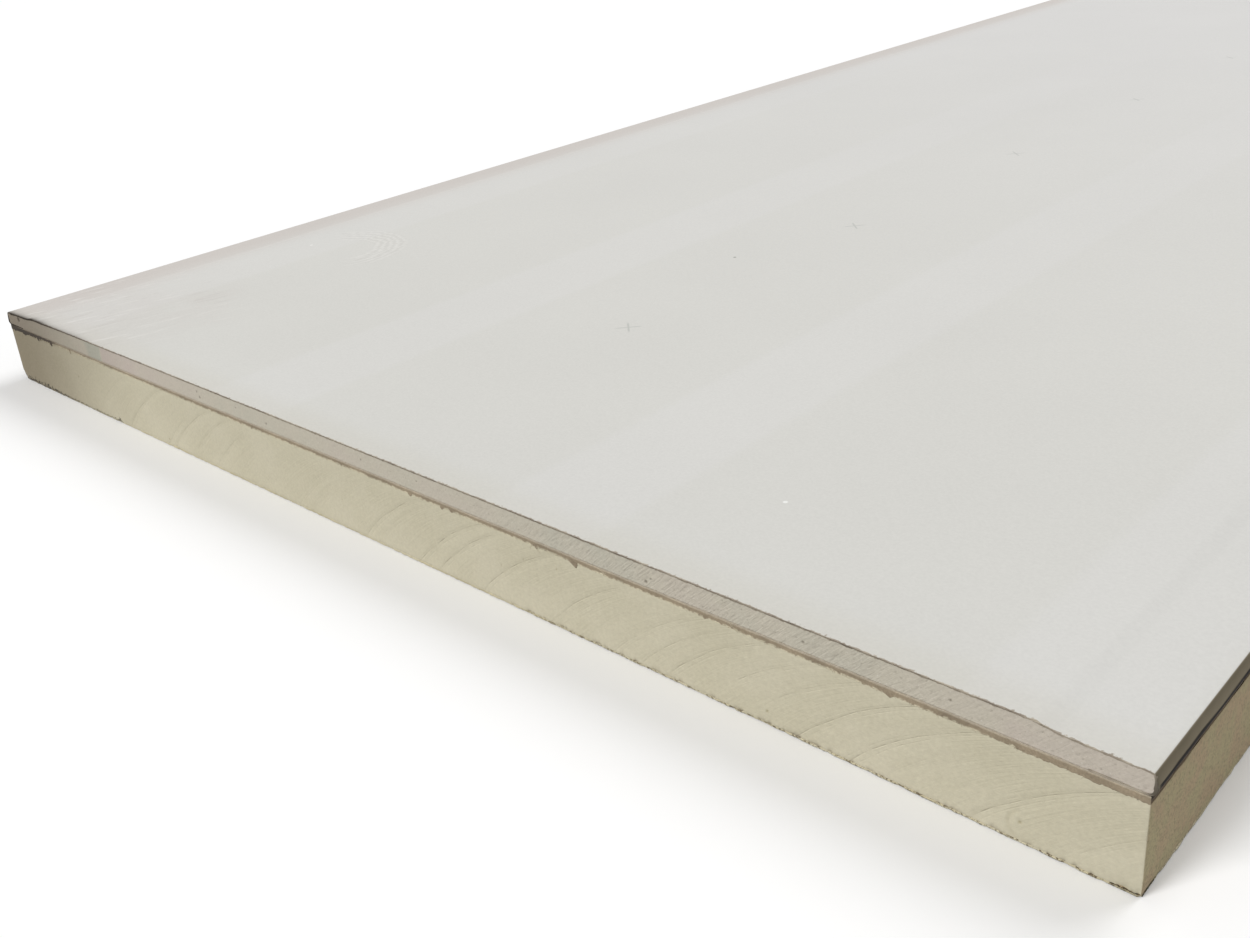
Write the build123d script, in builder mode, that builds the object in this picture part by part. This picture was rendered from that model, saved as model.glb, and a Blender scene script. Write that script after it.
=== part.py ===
from build123d import *
from math import radians, tan
import os

# Insulated drywall sheet: a paper-bound gypsum board bonded to a rigid foam board.
# It lies face up. X runs across the sheet, Y along it and Z up, and the origin is the
# centre of the underside. All sizes are in millimetres, and angles in degrees.

# Sheet
sheet_width = 900.0             # across the two bound edges, at their widest
sheet_length = 2400.0           # between the two saw-cut ends

# Gypsum board
board_thickness = 12.5          # both papers included
face_paper_thickness = 0.5
back_paper_thickness = 0.4
back_paper_inset = 9.0          # from the bound edge to the side of the back paper
fold_lap = 24.0                 # face paper turned in under the core, from the bound edge

# Recess along each long edge for tape and filler
taper_width = 44.0              # from the bound edge to the crest where the face starts to fall
taper_step_width = 8.0          # the steep first part
taper_step_depth = 1.4          # how far that part falls
taper_depth = 2.2               # how far the face has fallen at the bound edge
taper_crest_radius = 12.0
taper_foot_radius = 14.0

# Bound edge
edge_lean_angle = 15.0          # it leans outwards going down
edge_top_radius = 1.0
edge_nose_radius = 3.5          # where the paper turns in under the core

# Foam board
foam_board_thickness = 45.0     # both facers included
upper_facer_thickness = 2.4     # facer, bond line and the darkened foam skin under it
lower_facer_thickness = 0.8
foam_inset = 1.5                # each long side lies this far inside the bound edge

# Corner broken off the foam, at the left of the front end, seen with that end in front
break_width = 5.0
break_height = 8.0
break_run = 55.0                # back along the long side

# Heights of the layers
face_height = foam_board_thickness + board_thickness
fold_height = foam_board_thickness + back_paper_thickness
upper_facer_height = foam_board_thickness - upper_facer_thickness
foam_core_thickness = foam_board_thickness - upper_facer_thickness - lower_facer_thickness
foam_width = sheet_width - 2 * foam_inset

# The leaning edge and the underside meet in a sharp corner that the nose rounds off. The
# corner stands out past the sheet's width by what the rounding takes back, so that the
# rounded nose just reaches the width.
corner_angle = 90.0 - edge_lean_angle
nose_setback = edge_nose_radius / tan(radians(corner_angle / 2))
sharp_corner_x = sheet_width / 2 - edge_nose_radius + nose_setback
edge_height = board_thickness - back_paper_thickness - taper_depth
edge_top_x = sharp_corner_x - edge_height * tan(radians(edge_lean_angle))
crest_x = sheet_width / 2 - taper_width

# The broken face passes through one point on each of the three edges of the foam's corner.
broken_face = Plane(
    origin=(break_width - foam_width / 2, -sheet_length / 2, 0),
    z_dir=(1 / break_width, 1 / break_run, 1 / break_height),
)

os.makedirs("parts", exist_ok=True)

# Outline of the bound board without its back paper. Half of it runs from the middle of the
# face over the taper and round the edge to the middle of the underside.
with BuildSketch(Plane.XZ) as board_section:
    with BuildLine():
        FilletPolyline(
            (0, face_height),
            (crest_x, face_height),
            (crest_x + taper_step_width, face_height - taper_step_depth),
            (edge_top_x, face_height - taper_depth),
            (sharp_corner_x, fold_height),
            (0, fold_height),
            radius=[taper_crest_radius, taper_foot_radius, edge_top_radius, edge_nose_radius],
        )
        mirror(about=Plane.YZ)
    make_face()

# The core fills the bound outline inside the face paper. Between the two folds, where there
# is no face paper under it, it reaches down to the back paper.
with BuildSketch(Plane.XZ) as core_section:
    offset(board_section.sketch_local, amount=-face_paper_thickness)
    with Locations((0, fold_height + face_paper_thickness / 2)):
        Rectangle(sheet_width - 2 * fold_lap, face_paper_thickness)

# Face paper: one sheet over the face, round both long edges and in under the core
with BuildPart() as face_paper:
    with BuildSketch(Plane.XZ):
        add(board_section.sketch_local)
        add(core_section.sketch_local, mode=Mode.SUBTRACT)
    extrude(amount=sheet_length / 2, both=True)
face_paper.part.label = "face_paper"
export_step(face_paper.part, "parts/face_paper.step")

# Gypsum core
with BuildPart() as gypsum_core:
    with BuildSketch(Plane.XZ):
        add(core_section.sketch_local)
    extrude(amount=sheet_length / 2, both=True)
gypsum_core.part.label = "gypsum_core"
export_step(gypsum_core.part, "parts/gypsum_core.step")

# Back paper, lapped over both folds of the face paper
with BuildPart() as back_paper:
    with BuildSketch(Plane.XY.offset(foam_board_thickness)):
        Rectangle(sheet_width - 2 * back_paper_inset, sheet_length)
    extrude(amount=back_paper_thickness)
back_paper.part.label = "back_paper"
export_step(back_paper.part, "parts/back_paper.step")

# Upper facer of the foam, with the bond to the back paper
with BuildPart() as upper_facer:
    with BuildSketch(Plane.XY.offset(upper_facer_height)):
        Rectangle(foam_width, sheet_length)
    extrude(amount=upper_facer_thickness)
upper_facer.part.label = "upper_facer"
export_step(upper_facer.part, "parts/upper_facer.step")

# Foam core, with its broken corner
with BuildPart() as foam_core:
    with BuildSketch(Plane.XY.offset(lower_facer_thickness)):
        Rectangle(foam_width, sheet_length)
    extrude(amount=foam_core_thickness)
    split(bisect_by=broken_face, keep=Keep.TOP)
foam_core.part.label = "foam_core"
export_step(foam_core.part, "parts/foam_core.step")

# Lower facer, torn off with the same corner
with BuildPart() as lower_facer:
    with BuildSketch(Plane.XY):
        Rectangle(foam_width, sheet_length)
    extrude(amount=lower_facer_thickness)
    split(bisect_by=broken_face, keep=Keep.TOP)
lower_facer.part.label = "lower_facer"
export_step(lower_facer.part, "parts/lower_facer.step")
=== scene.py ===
from math import radians

import bpy
import numpy as np
from mathutils import Matrix, Vector


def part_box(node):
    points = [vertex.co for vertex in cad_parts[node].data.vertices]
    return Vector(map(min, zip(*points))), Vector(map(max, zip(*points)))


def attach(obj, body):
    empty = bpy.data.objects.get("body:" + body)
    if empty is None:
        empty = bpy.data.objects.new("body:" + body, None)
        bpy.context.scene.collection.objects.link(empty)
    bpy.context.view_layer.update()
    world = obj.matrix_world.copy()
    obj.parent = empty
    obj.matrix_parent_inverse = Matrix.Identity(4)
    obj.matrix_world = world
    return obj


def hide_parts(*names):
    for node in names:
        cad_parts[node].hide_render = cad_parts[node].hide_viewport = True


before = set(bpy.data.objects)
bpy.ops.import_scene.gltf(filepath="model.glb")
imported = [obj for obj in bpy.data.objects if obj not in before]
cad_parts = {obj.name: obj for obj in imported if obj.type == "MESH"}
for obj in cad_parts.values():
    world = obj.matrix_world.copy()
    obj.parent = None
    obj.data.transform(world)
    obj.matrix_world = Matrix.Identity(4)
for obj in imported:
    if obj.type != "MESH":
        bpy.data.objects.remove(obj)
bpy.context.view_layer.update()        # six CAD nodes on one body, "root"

# Insulated drywall sheet lying face up: a gypsum board bound in paper, bonded to a foam board.
# X runs across the sheet, Y along it and Z up. Lengths in the settings are millimetres and
# angles are degrees; a mesh is turned to metres as it is made.

mm = 0.001


# Tools for the shapes

def boxOf(node):
    low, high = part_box(node)
    return np.array(low) / mm, np.array(high) / mm


def smooth(t):
    # eases from 0 to 1 as t goes from 0 to 1, and is flat at both ends
    t = np.clip(t, 0.0, 1.0)
    return t * t * (3 - 2 * t)


def valueAt(table, place):
    # what a list of places and values gives at a place
    return np.interp(place, *np.array(table).T)


def cellValue(column, row, seed):
    # one steady random value from 0 to 1 for each whole-numbered cell: large odd factors mix its bits
    mix = (column * 374761393 + row * 668265263 + seed * 1442695041) & 0xFFFFFFFF
    mix = ((mix ^ (mix >> 13)) * 1274126177) & 0xFFFFFFFF
    return (mix ^ (mix >> 16)) / 0xFFFFFFFF


def latticeNoise(x, y, seed):
    # random values at whole-numbered points, blended smoothly between them, from -1 to 1
    column = np.floor(x).astype(np.int64)
    row = np.floor(y).astype(np.int64)
    across = smooth(x - column)
    up = smooth(y - row)
    low, high = (
        cellValue(column, level, seed) * (1 - across) + cellValue(column + 1, level, seed) * across
        for level in (row, row + 1)
    )
    return 2 * (low * (1 - up) + high * up) - 1


def layeredNoise(x, y, size, seed, layers=3):
    # Lattice noise of the given size, plus finer layers of half the size and half the strength.
    # Each layer is shifted, so that their lattices don't line up.
    total = 0.0
    for layer in range(layers):
        pitch = size / 2 ** layer
        noise = latticeNoise(x / pitch + 17.3 * layer, y / pitch - 9.1 * layer, seed + layer)
        total = total + noise / 2 ** layer
    return total / (2 - 2 / 2 ** layers)


def relief(x, y, layers):
    # sum of noises, each with its strength, size and seed
    total = 0.0
    for strength, size, seed in layers:
        total = total + strength * layeredNoise(x, y, size, seed)
    return total


def scatteredDots(x, y, cell, share, smallest, largest, seed):
    # one dot in a share of the square cells, at a random place: 1 at its middle, 0 from its rim on
    found = np.zeros(np.broadcast(x, y).shape)
    for right in (-1, 0, 1):
        for up in (-1, 0, 1):
            column = np.floor(x / cell).astype(np.int64) + right
            row = np.floor(y / cell).astype(np.int64) + up
            dotX = (column + 0.2 + 0.6 * cellValue(column, row, seed)) * cell
            dotY = (row + 0.2 + 0.6 * cellValue(column, row, seed + 1)) * cell
            radius = smallest + (largest - smallest) * cellValue(column, row, seed + 2) ** 2
            there = cellValue(column, row, seed + 3) < share
            found = np.maximum(found, there * np.clip(1 - np.hypot(x - dotX, y - dotY) / radius, 0, 1))
    return found


def growingSteps(length, first, growth, largest):
    # places along a line: steps grow by one ratio from both ends up to the largest
    count = int(length / first) + 2
    steps = np.minimum(first * np.exp(np.minimum(np.arange(count) * np.log(growth), 20)), largest)
    half = np.concatenate([[0.0], np.cumsum(steps)])
    half = half[half <= length / 2 + largest / 2]
    half = half * (length / 2 / half[-1])
    return np.concatenate([half, length - half[-2::-1]])


def rimOf(low, high, rim):
    # Outline of a box seen from above, anticlockwise from the left end of the front: four straight
    # runs joined by quarter turns. Gives each point's place and its outward direction.
    radius = rim["cornerRadius"]
    width = high[0] - low[0] - 2 * radius
    length = high[1] - low[1] - 2 * radius
    front = growingSteps(width, rim["frontPitch"], 1.0, rim["frontPitch"])
    rear = growingSteps(width, rim["rearPitch"], 1.0, rim["rearPitch"])
    side = growingSteps(length, rim["sidePitch"], rim["sideGrowth"], rim["sideLargest"])
    runs = [
        ((low[0] + radius, low[1]), (1, 0), (0, -1), front),
        ((high[0], low[1] + radius), (0, 1), (1, 0), side),
        ((high[0] - radius, high[1]), (-1, 0), (0, 1), rear),
        ((low[0], high[1] - radius), (0, -1), (-1, 0), side),
    ]
    place = []
    outward = []
    for start, along, out, walk in runs:
        place.append(np.array(start) + walk[:, None] * np.array(along))
        outward.append(np.tile(np.array(out, float), (len(walk), 1)))
        turn = np.radians(90) * np.arange(1, rim["cornerSteps"]) / rim["cornerSteps"]
        out, along = np.array(out), np.array(along)
        direction = np.cos(turn)[:, None] * out + np.sin(turn)[:, None] * along
        place.append(place[-1][-1] - radius * out + radius * direction)
        outward.append(direction)
    return np.concatenate(place), np.concatenate(outward)


def edgeProfile(bottom, top, edge, pitch, capInset):
    # Side of a slab from below to above: a ring of the flat underside, a quarter round, the wall,
    # a quarter round and a ring of the flat top. Gives each row's inset and height.
    turn = np.radians(np.array([8, 35, 62]))
    out, rise = edge * (1 - np.sin(turn)), edge * (1 - np.cos(turn))
    wall = np.linspace(bottom + edge, top - edge, max(2, int((top - bottom - 2 * edge) / pitch) + 1))
    inset = np.concatenate([[capInset], out, np.zeros(len(wall)), out[::-1], [capInset]])
    height = np.concatenate([[bottom], bottom + rise, wall, top - rise[::-1], [top]])
    return inset, height


def slabGrid(node, piece):
    # The side of a slab as a grid of points, its rows from below and its columns round the outline.
    # Gives its box, the columns' outward directions, the rows' insets, where it is wall, and the grid.
    low, high = boxOf(node)
    place, outward = rimOf(low, high, piece["rim"])
    inset, height = edgeProfile(low[2], high[2], piece["edge"], piece["rowPitch"], piece["capInset"])
    x = place[:, 0] + 0 * height[:, None]
    y = place[:, 1] + 0 * height[:, None]
    z = height[:, None] + 0 * x
    return (low, high), outward, inset[:, None], (inset < piece["capInset"])[:, None], (x, y, z)


def endShares(outward):
    # how far each point of an outline faces the front end, the rear end and the long sides
    front = np.clip(-outward[:, 1], 0, 1) ** 2
    rear = np.clip(outward[:, 1], 0, 1) ** 2
    return front, rear, 1 - front - rear


def setBack(x, y, z, outward, depth):
    # the grid's points, moved inwards by a depth
    return np.stack([x - outward[:, 0] * depth, y - outward[:, 1] * depth, z + 0 * depth], -1)


def slabFaces(rows, columns):
    # quads of a closed band of rows and columns, and the two flat caps as single faces
    row, column = np.meshgrid(np.arange(rows - 1), np.arange(columns), indexing="ij")
    here = row * columns + column
    beside = row * columns + (column + 1) % columns
    quads = np.stack([here, beside, beside + columns, here + columns], -1).reshape(-1, 4)
    caps = [list(range(columns))[::-1], list(range((rows - 1) * columns, rows * columns))]
    return quads, caps


def fibreTubes(roots, tips, bend, radius, sides=3, rings=4):
    # Each fibre is a thin three-sided tube from its root to its tip, bent sideways by a parabola
    # and tapering to a quarter of its radius, with both ends closed.
    along = np.linspace(0, 1, rings)
    run = tips - roots
    side = np.cross(run, [0.3, 1.0, 0.2])
    side /= np.linalg.norm(side, axis=1)[:, None] + 1e-9
    other = np.cross(run, side)
    other /= np.linalg.norm(other, axis=1)[:, None] + 1e-9
    bow = 4 * along * (1 - along)
    middle = roots[:, None] + along[:, None] * run[:, None] + bow[:, None] * bend[:, None]
    turn = 2 * np.pi * np.arange(sides) / sides
    ring = np.cos(turn)[:, None] * side[:, None] + np.sin(turn)[:, None] * other[:, None]
    size = radius[:, None, None, None] * (1 - 0.75 * along)[None, :, None, None]
    points = middle[:, :, None] + size * ring[:, None]
    start = (np.arange(len(roots)) * rings * sides)[:, None, None]
    row, step = np.meshgrid(np.arange(rings - 1), np.arange(sides), indexing="ij")
    here = start + row * sides + step
    beside = start + row * sides + (step + 1) % sides
    quads = np.stack([here, beside, beside + sides, here + sides], -1).reshape(-1, 4)
    first = start[:, 0, 0][:, None] + np.arange(sides)[::-1]
    last = start[:, 0, 0][:, None] + (rings - 1) * sides + np.arange(sides)
    return points.reshape(-1, 3), quads, np.concatenate([first, last]).tolist()


def withFibres(points, quads, flats, masks, fibres, fibreMasks):
    # a piece's arrays with its loose fibres added
    fibrePoints, fibreQuads, fibreEnds = fibres
    start = len(points)
    flats = flats + [[corner + start for corner in end] for end in fibreEnds]
    masks = {name: np.concatenate([values.ravel(), fibreMasks[name]]) for name, values in masks.items()}
    return np.concatenate([points, fibrePoints]), np.concatenate([quads, fibreQuads + start]), flats, masks


def makePiece(name, node, slot, points, quads, flats, masks, material):
    # Puts the arrays into a mesh in metres, with each mask as a point attribute, and stands the
    # piece in for its CAD node. Quads are shaded smooth and the flat faces are not.
    mesh = bpy.data.meshes.new(name)
    mesh.from_pydata((points.reshape(-1, 3) * mm).tolist(), [], quads.tolist() + flats)
    shading = np.zeros(len(quads) + len(flats), bool)
    shading[:len(quads)] = True
    mesh.polygons.foreach_set("use_smooth", shading)
    for mask, values in masks.items():
        layer = mesh.attributes.new(mask, "FLOAT", "POINT")
        layer.data.foreach_set("value", np.asarray(values, np.float32).ravel())
    mesh.materials.append(material)
    mesh.validate()
    mesh.update()
    piece = bpy.data.objects.new(name, mesh)
    bpy.context.scene.collection.objects.link(piece)
    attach(piece, "root")
    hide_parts(node)
    print(name, "made:", sum(len(p.vertices) - 2 for p in mesh.polygons), "triangles")


# Tools for the materials

def hexColour(code):
    # an sRGB hex value, turned to the linear values that a shader takes
    parts = [int(code[i:i + 2], 16) / 255 for i in (1, 3, 5)]
    return (*[p / 12.92 if p <= 0.04045 else ((p + 0.055) / 1.055) ** 2.4 for p in parts], 1.0)


def scaleFor(size):
    # a texture's scale for features of the given size in millimetres
    return 1 / (size * mm)


def addNode(tree, kind, values=None, out=0):
    # Adds a node and gives one of its outputs. Another node's output is linked to the input of that
    # name or number; anything else is set there, or on the node itself if it has no such input.
    node = tree.nodes.new("ShaderNode" + kind)
    for name, value in (values or {}).items():
        if isinstance(value, bpy.types.NodeSocket):
            tree.links.new(value, node.inputs[name])
        elif isinstance(name, int) or name in node.inputs:
            node.inputs[name].default_value = value
        else:
            setattr(node, name, value)
    return node.outputs[out]


def newMaterial(name, roughness, ior, colours, masks):
    # gives the material, its tree, the place on the piece, and its colours and masks by name
    material = bpy.data.materials.new(name)
    material.use_nodes = True
    tree = material.node_tree
    shader = tree.nodes["Principled BSDF"]
    shader.inputs["Roughness"].default_value = roughness
    shader.inputs["IOR"].default_value = ior
    colours = {colour: hexColour(code) for colour, code in colours.items()}
    masks = {mask: addNode(tree, "Attribute", {"attribute_name": mask}, "Fac") for mask in masks}
    return material, tree, addNode(tree, "TexCoord", out="Object"), colours, masks


def finishMaterial(material, colour, normal):
    tree = material.node_tree
    shader = tree.nodes["Principled BSDF"]
    tree.links.new(colour, shader.inputs["Base Color"])
    tree.links.new(normal, shader.inputs["Normal"])
    return material


def patchesOf(tree, place, size, detail, ends, values=(0.0, 1.0), roughness=0.5):
    # noise of a size, spread so that it runs from one value to the other between its two ends
    noise = addNode(tree, "TexNoise", {
        "Vector": place, "Scale": scaleFor(size), "Detail": detail, "Roughness": roughness,
    })
    return addNode(tree, "MapRange", {0: noise, 1: ends[0], 2: ends[1], 3: values[0], 4: values[1]})


def layOver(tree, colour, *layers):
    # lays tints over a colour in turn, each by its mask, or by the share of it that is given
    for tint, mask, *share in layers:
        if share:
            mask = addNode(tree, "Math", {"operation": "MULTIPLY", 0: mask, 1: share[0]})
        colour = addNode(tree, "Mix", {"data_type": "RGBA", 0: mask, 6: colour, 7: tint}, 2)
    return colour


def shadeBy(tree, colour, pattern, ends, factors):
    # darkens or lightens a colour by factors that follow a pattern from one of its ends to the other
    factor = addNode(tree, "MapRange", {0: pattern, 1: ends[0], 2: ends[1], 3: factors[0], 4: factors[1]})
    return addNode(tree, "Mix", {
        "data_type": "RGBA", "blend_type": "MULTIPLY", 0: 1.0, 6: colour, 7: factor,
    }, 2)


# Darkening of every layer towards the left end of the cut

dirt = {
    "from": -448.0,          # where it is darkest
    "to": -236.0,            # where it has faded out
    "wander": 10.0,          # how unevenly it ends
    "size": 40.0,
    "seed": 71,
    "tint": "#b0aaa5",       # what it multiplies a colour by
}


def leftDarkeningAt(x, z):
    wander = dirt["wander"] * layeredNoise(x, z, dirt["size"], dirt["seed"])
    return 1 - smooth((x + wander - dirt["from"]) / (dirt["to"] - dirt["from"]))


def darkenLeftEnd(tree, colour, amount):
    # multiplies the colour by the darkening's tint, as far as the amount goes
    return addNode(tree, "Mix", {
        "data_type": "RGBA", "blend_type": "MULTIPLY", 0: amount, 6: colour, 7: hexColour(dirt["tint"]),
    }, 2)


# Foam core

foam = {
    "rim": {
        "cornerRadius": 0.8, "cornerSteps": 4, "frontPitch": 0.55, "rearPitch": 6.0,
        "sidePitch": 1.5, "sideGrowth": 1.06, "sideLargest": 16.0,
    },
    "edge": 0.5,             # worn round along the cut edges
    "rowPitch": 1.15,
    "capInset": 12.0,
    "recess": 0.35,          # the sawn face behind the nominal end
    "bladeRadius": 170.0,
    "bladeDrop": 114.0,      # blade centre below the underside
    # marks of the saw's teeth: where each leaves the underside, its lowest and highest point, strength
    "sawMarks": [
        (-323, 2, 38, 0.4), (-276, 1, 40, 0.9), (-223, 1, 24, 0.6), (-214, 0, 38, 0.9), (-190, 9, 40, 0.7),
        (-161, 1, 30, 0.7), (-107, 0, 9, 0.5), (-71, 2, 34, 0.3), (-1, 2, 40, 0.9), (10, 8, 34, 0.4),
        (48, 1, 39, 0.9), (64, 3, 36, 0.9), (100, 1, 40, 0.9), (151, 1, 36, 0.6),
        (158, 4, 30, 0.4), (194, 2, 36, 0.5), (211, 2, 38, 0.5), (227, 0, 39, 0.8), (253, 16, 40, 0.6),
        (274, 12, 40, 0.5), (300, 1, 40, 0.9), (326, 2, 40, 0.9), (342, 6, 20, 0.3), (381, 1, 40, 1.0),
        (418, 8, 32, 0.4),
    ],
    "markDepth": 0.3,
    "markHalf": 0.8,         # half the width of a mark
    "waver": 0.5,            # how far a mark strays from its circle
    "terraceDepth": 0.28,    # the face steps back a little past each mark, and comes forward again
    "terraceRun": 14.0,
    # fainter marks beside each: how far off, and their share of its strength
    "besideMarks": [(3.1, 0.5), (-2.4, 0.35)],
    "hook": (404.0, 7.5, 7.0),   # centre and radius of the short hooked mark at the right
    "hookDepth": 0.3,
    # pits in the cut and chips in the long sides: cell, share of the cells, radii and seed
    "pits": (14.0, 0.05, 0.5, 1.2, 21),
    "pitDepth": 0.5,
    "chips": (12.0, 0.2, 0.9, 2.4, 51),
    "chipDepth": 0.8,
    "sideRelief": [(0.14, 17.0, 41), (0.07, 3.0, 47)],
    "crumbleFrom": 95.0,     # the lower edge of the cut is crumbled to the right of here
    "cornerFrom": 432.0,     # and its right corner is worn from here on
    # how far the soot climbs from the lower edge of the cut, across the sheet
    "sootReach": [
        (-450, 4.0), (-428, 5.5), (-405, 4.2), (-385, 3.2), (-362, 1.6), (-296, 1.2), (-293, 3.8),
        (-291, 3.4), (-287, 0.0),
    ],
    "rearSeed": 5,
    "rearMarks": 16,
    # corner broken off at the left of the front end
    "breakWidth": 5.0, "breakHeight": 8.0, "breakRun": 55.0,
}


def toothLines(track, z, marks, seed):
    # Depth of the hollows and terraces at a set of marks, the distance past the nearest mark, and
    # how strong that mark is there. A mark wavers a little and fades at both ends.
    depth = 0 * track
    nearest = 0 * track + 4.0
    strength = 0 * track
    for start, lowest, highest, share in marks:
        past = track - start + foam["waver"] * latticeNoise(z / 9, 0 * track + start, seed)
        there = share * smooth((z - lowest + 3) / 5) * (1 - smooth((z - highest) / 5))
        there = there * (0.75 + 0.25 * latticeNoise(z / 4, 0 * track + start, seed + 1))
        terrace = smooth(past / 1.4) * (1 - np.clip(past / foam["terraceRun"], 0, 1)) ** 2
        hollow = np.exp(-(past / foam["markHalf"]) ** 2)
        depth = depth + there * (foam["markDepth"] * hollow + foam["terraceDepth"] * terrace)
        closer = np.abs(past) < np.abs(nearest)
        nearest = np.where(closer, past, nearest)
        strength = np.where(closer, there, strength)
    return depth, nearest, strength * (1 - smooth((np.abs(nearest) - 0.9) / 0.7))


def sawnRelief(x, z, marks, seed):
    # Depth of the sawn face, the lines of the teeth's marks and of the fainter ones beside them, and
    # the track of the teeth. Each tooth runs on a circle about a centre under the sheet, so
    # x + sqrt(radius^2 - (z + drop)^2) is the same all along its mark.
    radius, drop = foam["bladeRadius"], foam["bladeDrop"]
    track = x + np.sqrt(radius ** 2 - (z + drop) ** 2) - np.sqrt(radius ** 2 - drop ** 2)
    depth = 0.09 * layeredNoise(track, z * 0.3, 26.0, seed)
    depth = depth + 0.05 * layeredNoise(track, z * 0.08, 5.0, seed + 5)
    depth = depth + 0.03 * layeredNoise(x, z, 2.6, seed + 9, 2)
    beside = [
        (start + aside, lowest, highest, share * part)
        for start, lowest, highest, share in marks for aside, part in foam["besideMarks"]
    ]
    markDepth, markPast, mark = toothLines(track, z, marks, seed + 11)
    besideDepth, besidePast, besideMark = toothLines(track, z, beside, seed + 13)
    lines = {"past": markPast, "mark": mark, "besidePast": besidePast, "besideMark": besideMark}
    return depth + markDepth + 0.5 * besideDepth, lines, track


def beyondBreak(points, low, rough):
    # how far each point stands beyond the plane of the broken corner, and where that plane faces
    facing = np.array([1 / foam["breakWidth"], 1 / foam["breakRun"], 1 / foam["breakHeight"]])
    facing /= np.linalg.norm(facing)
    corner = np.array([low[0] + foam["breakWidth"], low[1], 0.0])
    return np.maximum(rough - (points - corner) @ facing, 0), facing


def makeFoam(material):
    (low, high), outward, inset, wall, (x, y, z) = slabGrid("foam_core", foam)
    front, rear, side = endShares(outward)

    frontDepth, frontLines, track = sawnRelief(x, z, foam["sawMarks"], 3)
    hookX, hookZ, hookRadius = foam["hook"]
    hookAway = np.hypot(x - hookX, z - hookZ) - hookRadius
    hook = np.exp(-(hookAway / foam["markHalf"]) ** 2) * smooth((hookX - 1.5 - x) / 3)
    pits = scatteredDots(x, z, *foam["pits"])
    frontDepth = frontDepth + foam["hookDepth"] * hook + foam["pitDepth"] * pits

    draw = np.random.default_rng(foam["rearSeed"])
    starts = draw.uniform(low[0], high[0], foam["rearMarks"])
    rearMarks = [
        (start, draw.uniform(0, 6), draw.uniform(30, 42), draw.uniform(0.3, 0.9)) for start in starts
    ]
    rearDepth, rearLines, rearTrack = sawnRelief(-x, z, rearMarks, 37)
    sideDepth = relief(y, z, foam["sideRelief"]) + foam["chipDepth"] * scatteredDots(y, z, *foam["chips"])

    # the lower edge of the cut is finely crumbled, more so to the right, and the corner is worn
    crumble = smooth((layeredNoise(x, y, 2.6, 61) + 0.1) / 0.6) * np.exp(-(z - low[2]) / 0.9)
    crumble = crumble * (0.1 + 0.9 * smooth((x - foam["crumbleFrom"]) / 50))
    worn = smooth((x - foam["cornerFrom"]) / 14) * np.exp(-(z - low[2]) / 2.4 - (y - low[1]) / 8)
    worn = worn * np.clip(0.7 + layeredNoise(x + y, z, 3.0, 63), 0, 1)
    # painted shade in ragged brown patches along the top of the long sides, under the overhanging bound edge
    shadeReach = 0.7 + 2.4 * np.clip(layeredNoise(y, x * 0, 9.0, 65), 0, 1)
    shaded = side * smooth(1 - (high[2] - z) / shadeReach)

    depth = foam["recess"] + front * frontDepth + rear * rearDepth + side * sideDepth
    depth = inset + wall * np.maximum(depth + 0.4 * crumble + 1.4 * worn, 0.05)
    points = setBack(x, y, z, outward, depth)
    # what stands beyond the broken face at the left front corner is pressed back on to it
    beyond, facing = beyondBreak(points, low, 0.5 * layeredNoise(y + x, z * 2, 5.0, 67) + 0.35)
    beyond = beyond * wall
    points = points + beyond[..., None] * facing

    leftSide = np.clip(-outward[:, 0], 0, 1) * np.exp(-(y - low[1]) / 160)
    masks = {
        "hook": front * hook,
        "pit": np.clip(front * pits * 1.5, 0, 1),
        "dirt": front * leftDarkeningAt(x, z) + 0.9 * leftSide,
        "longSide": side + 0 * z,
        "edgeDirt": np.maximum(front * crumble, 0.8 * shaded),
        "soot": valueAt(foam["sootReach"], x) * front * mm,
        "broken": np.clip(beyond, 0, 1),
        "track": (front * track + rear * rearTrack) * mm,
    }
    for line, values in frontLines.items():
        masks[line] = front * values + rear * rearLines[line]
    makePiece("foam_board", "foam_core", "foam", points, *slabFaces(*z.shape), masks, material)


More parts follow.
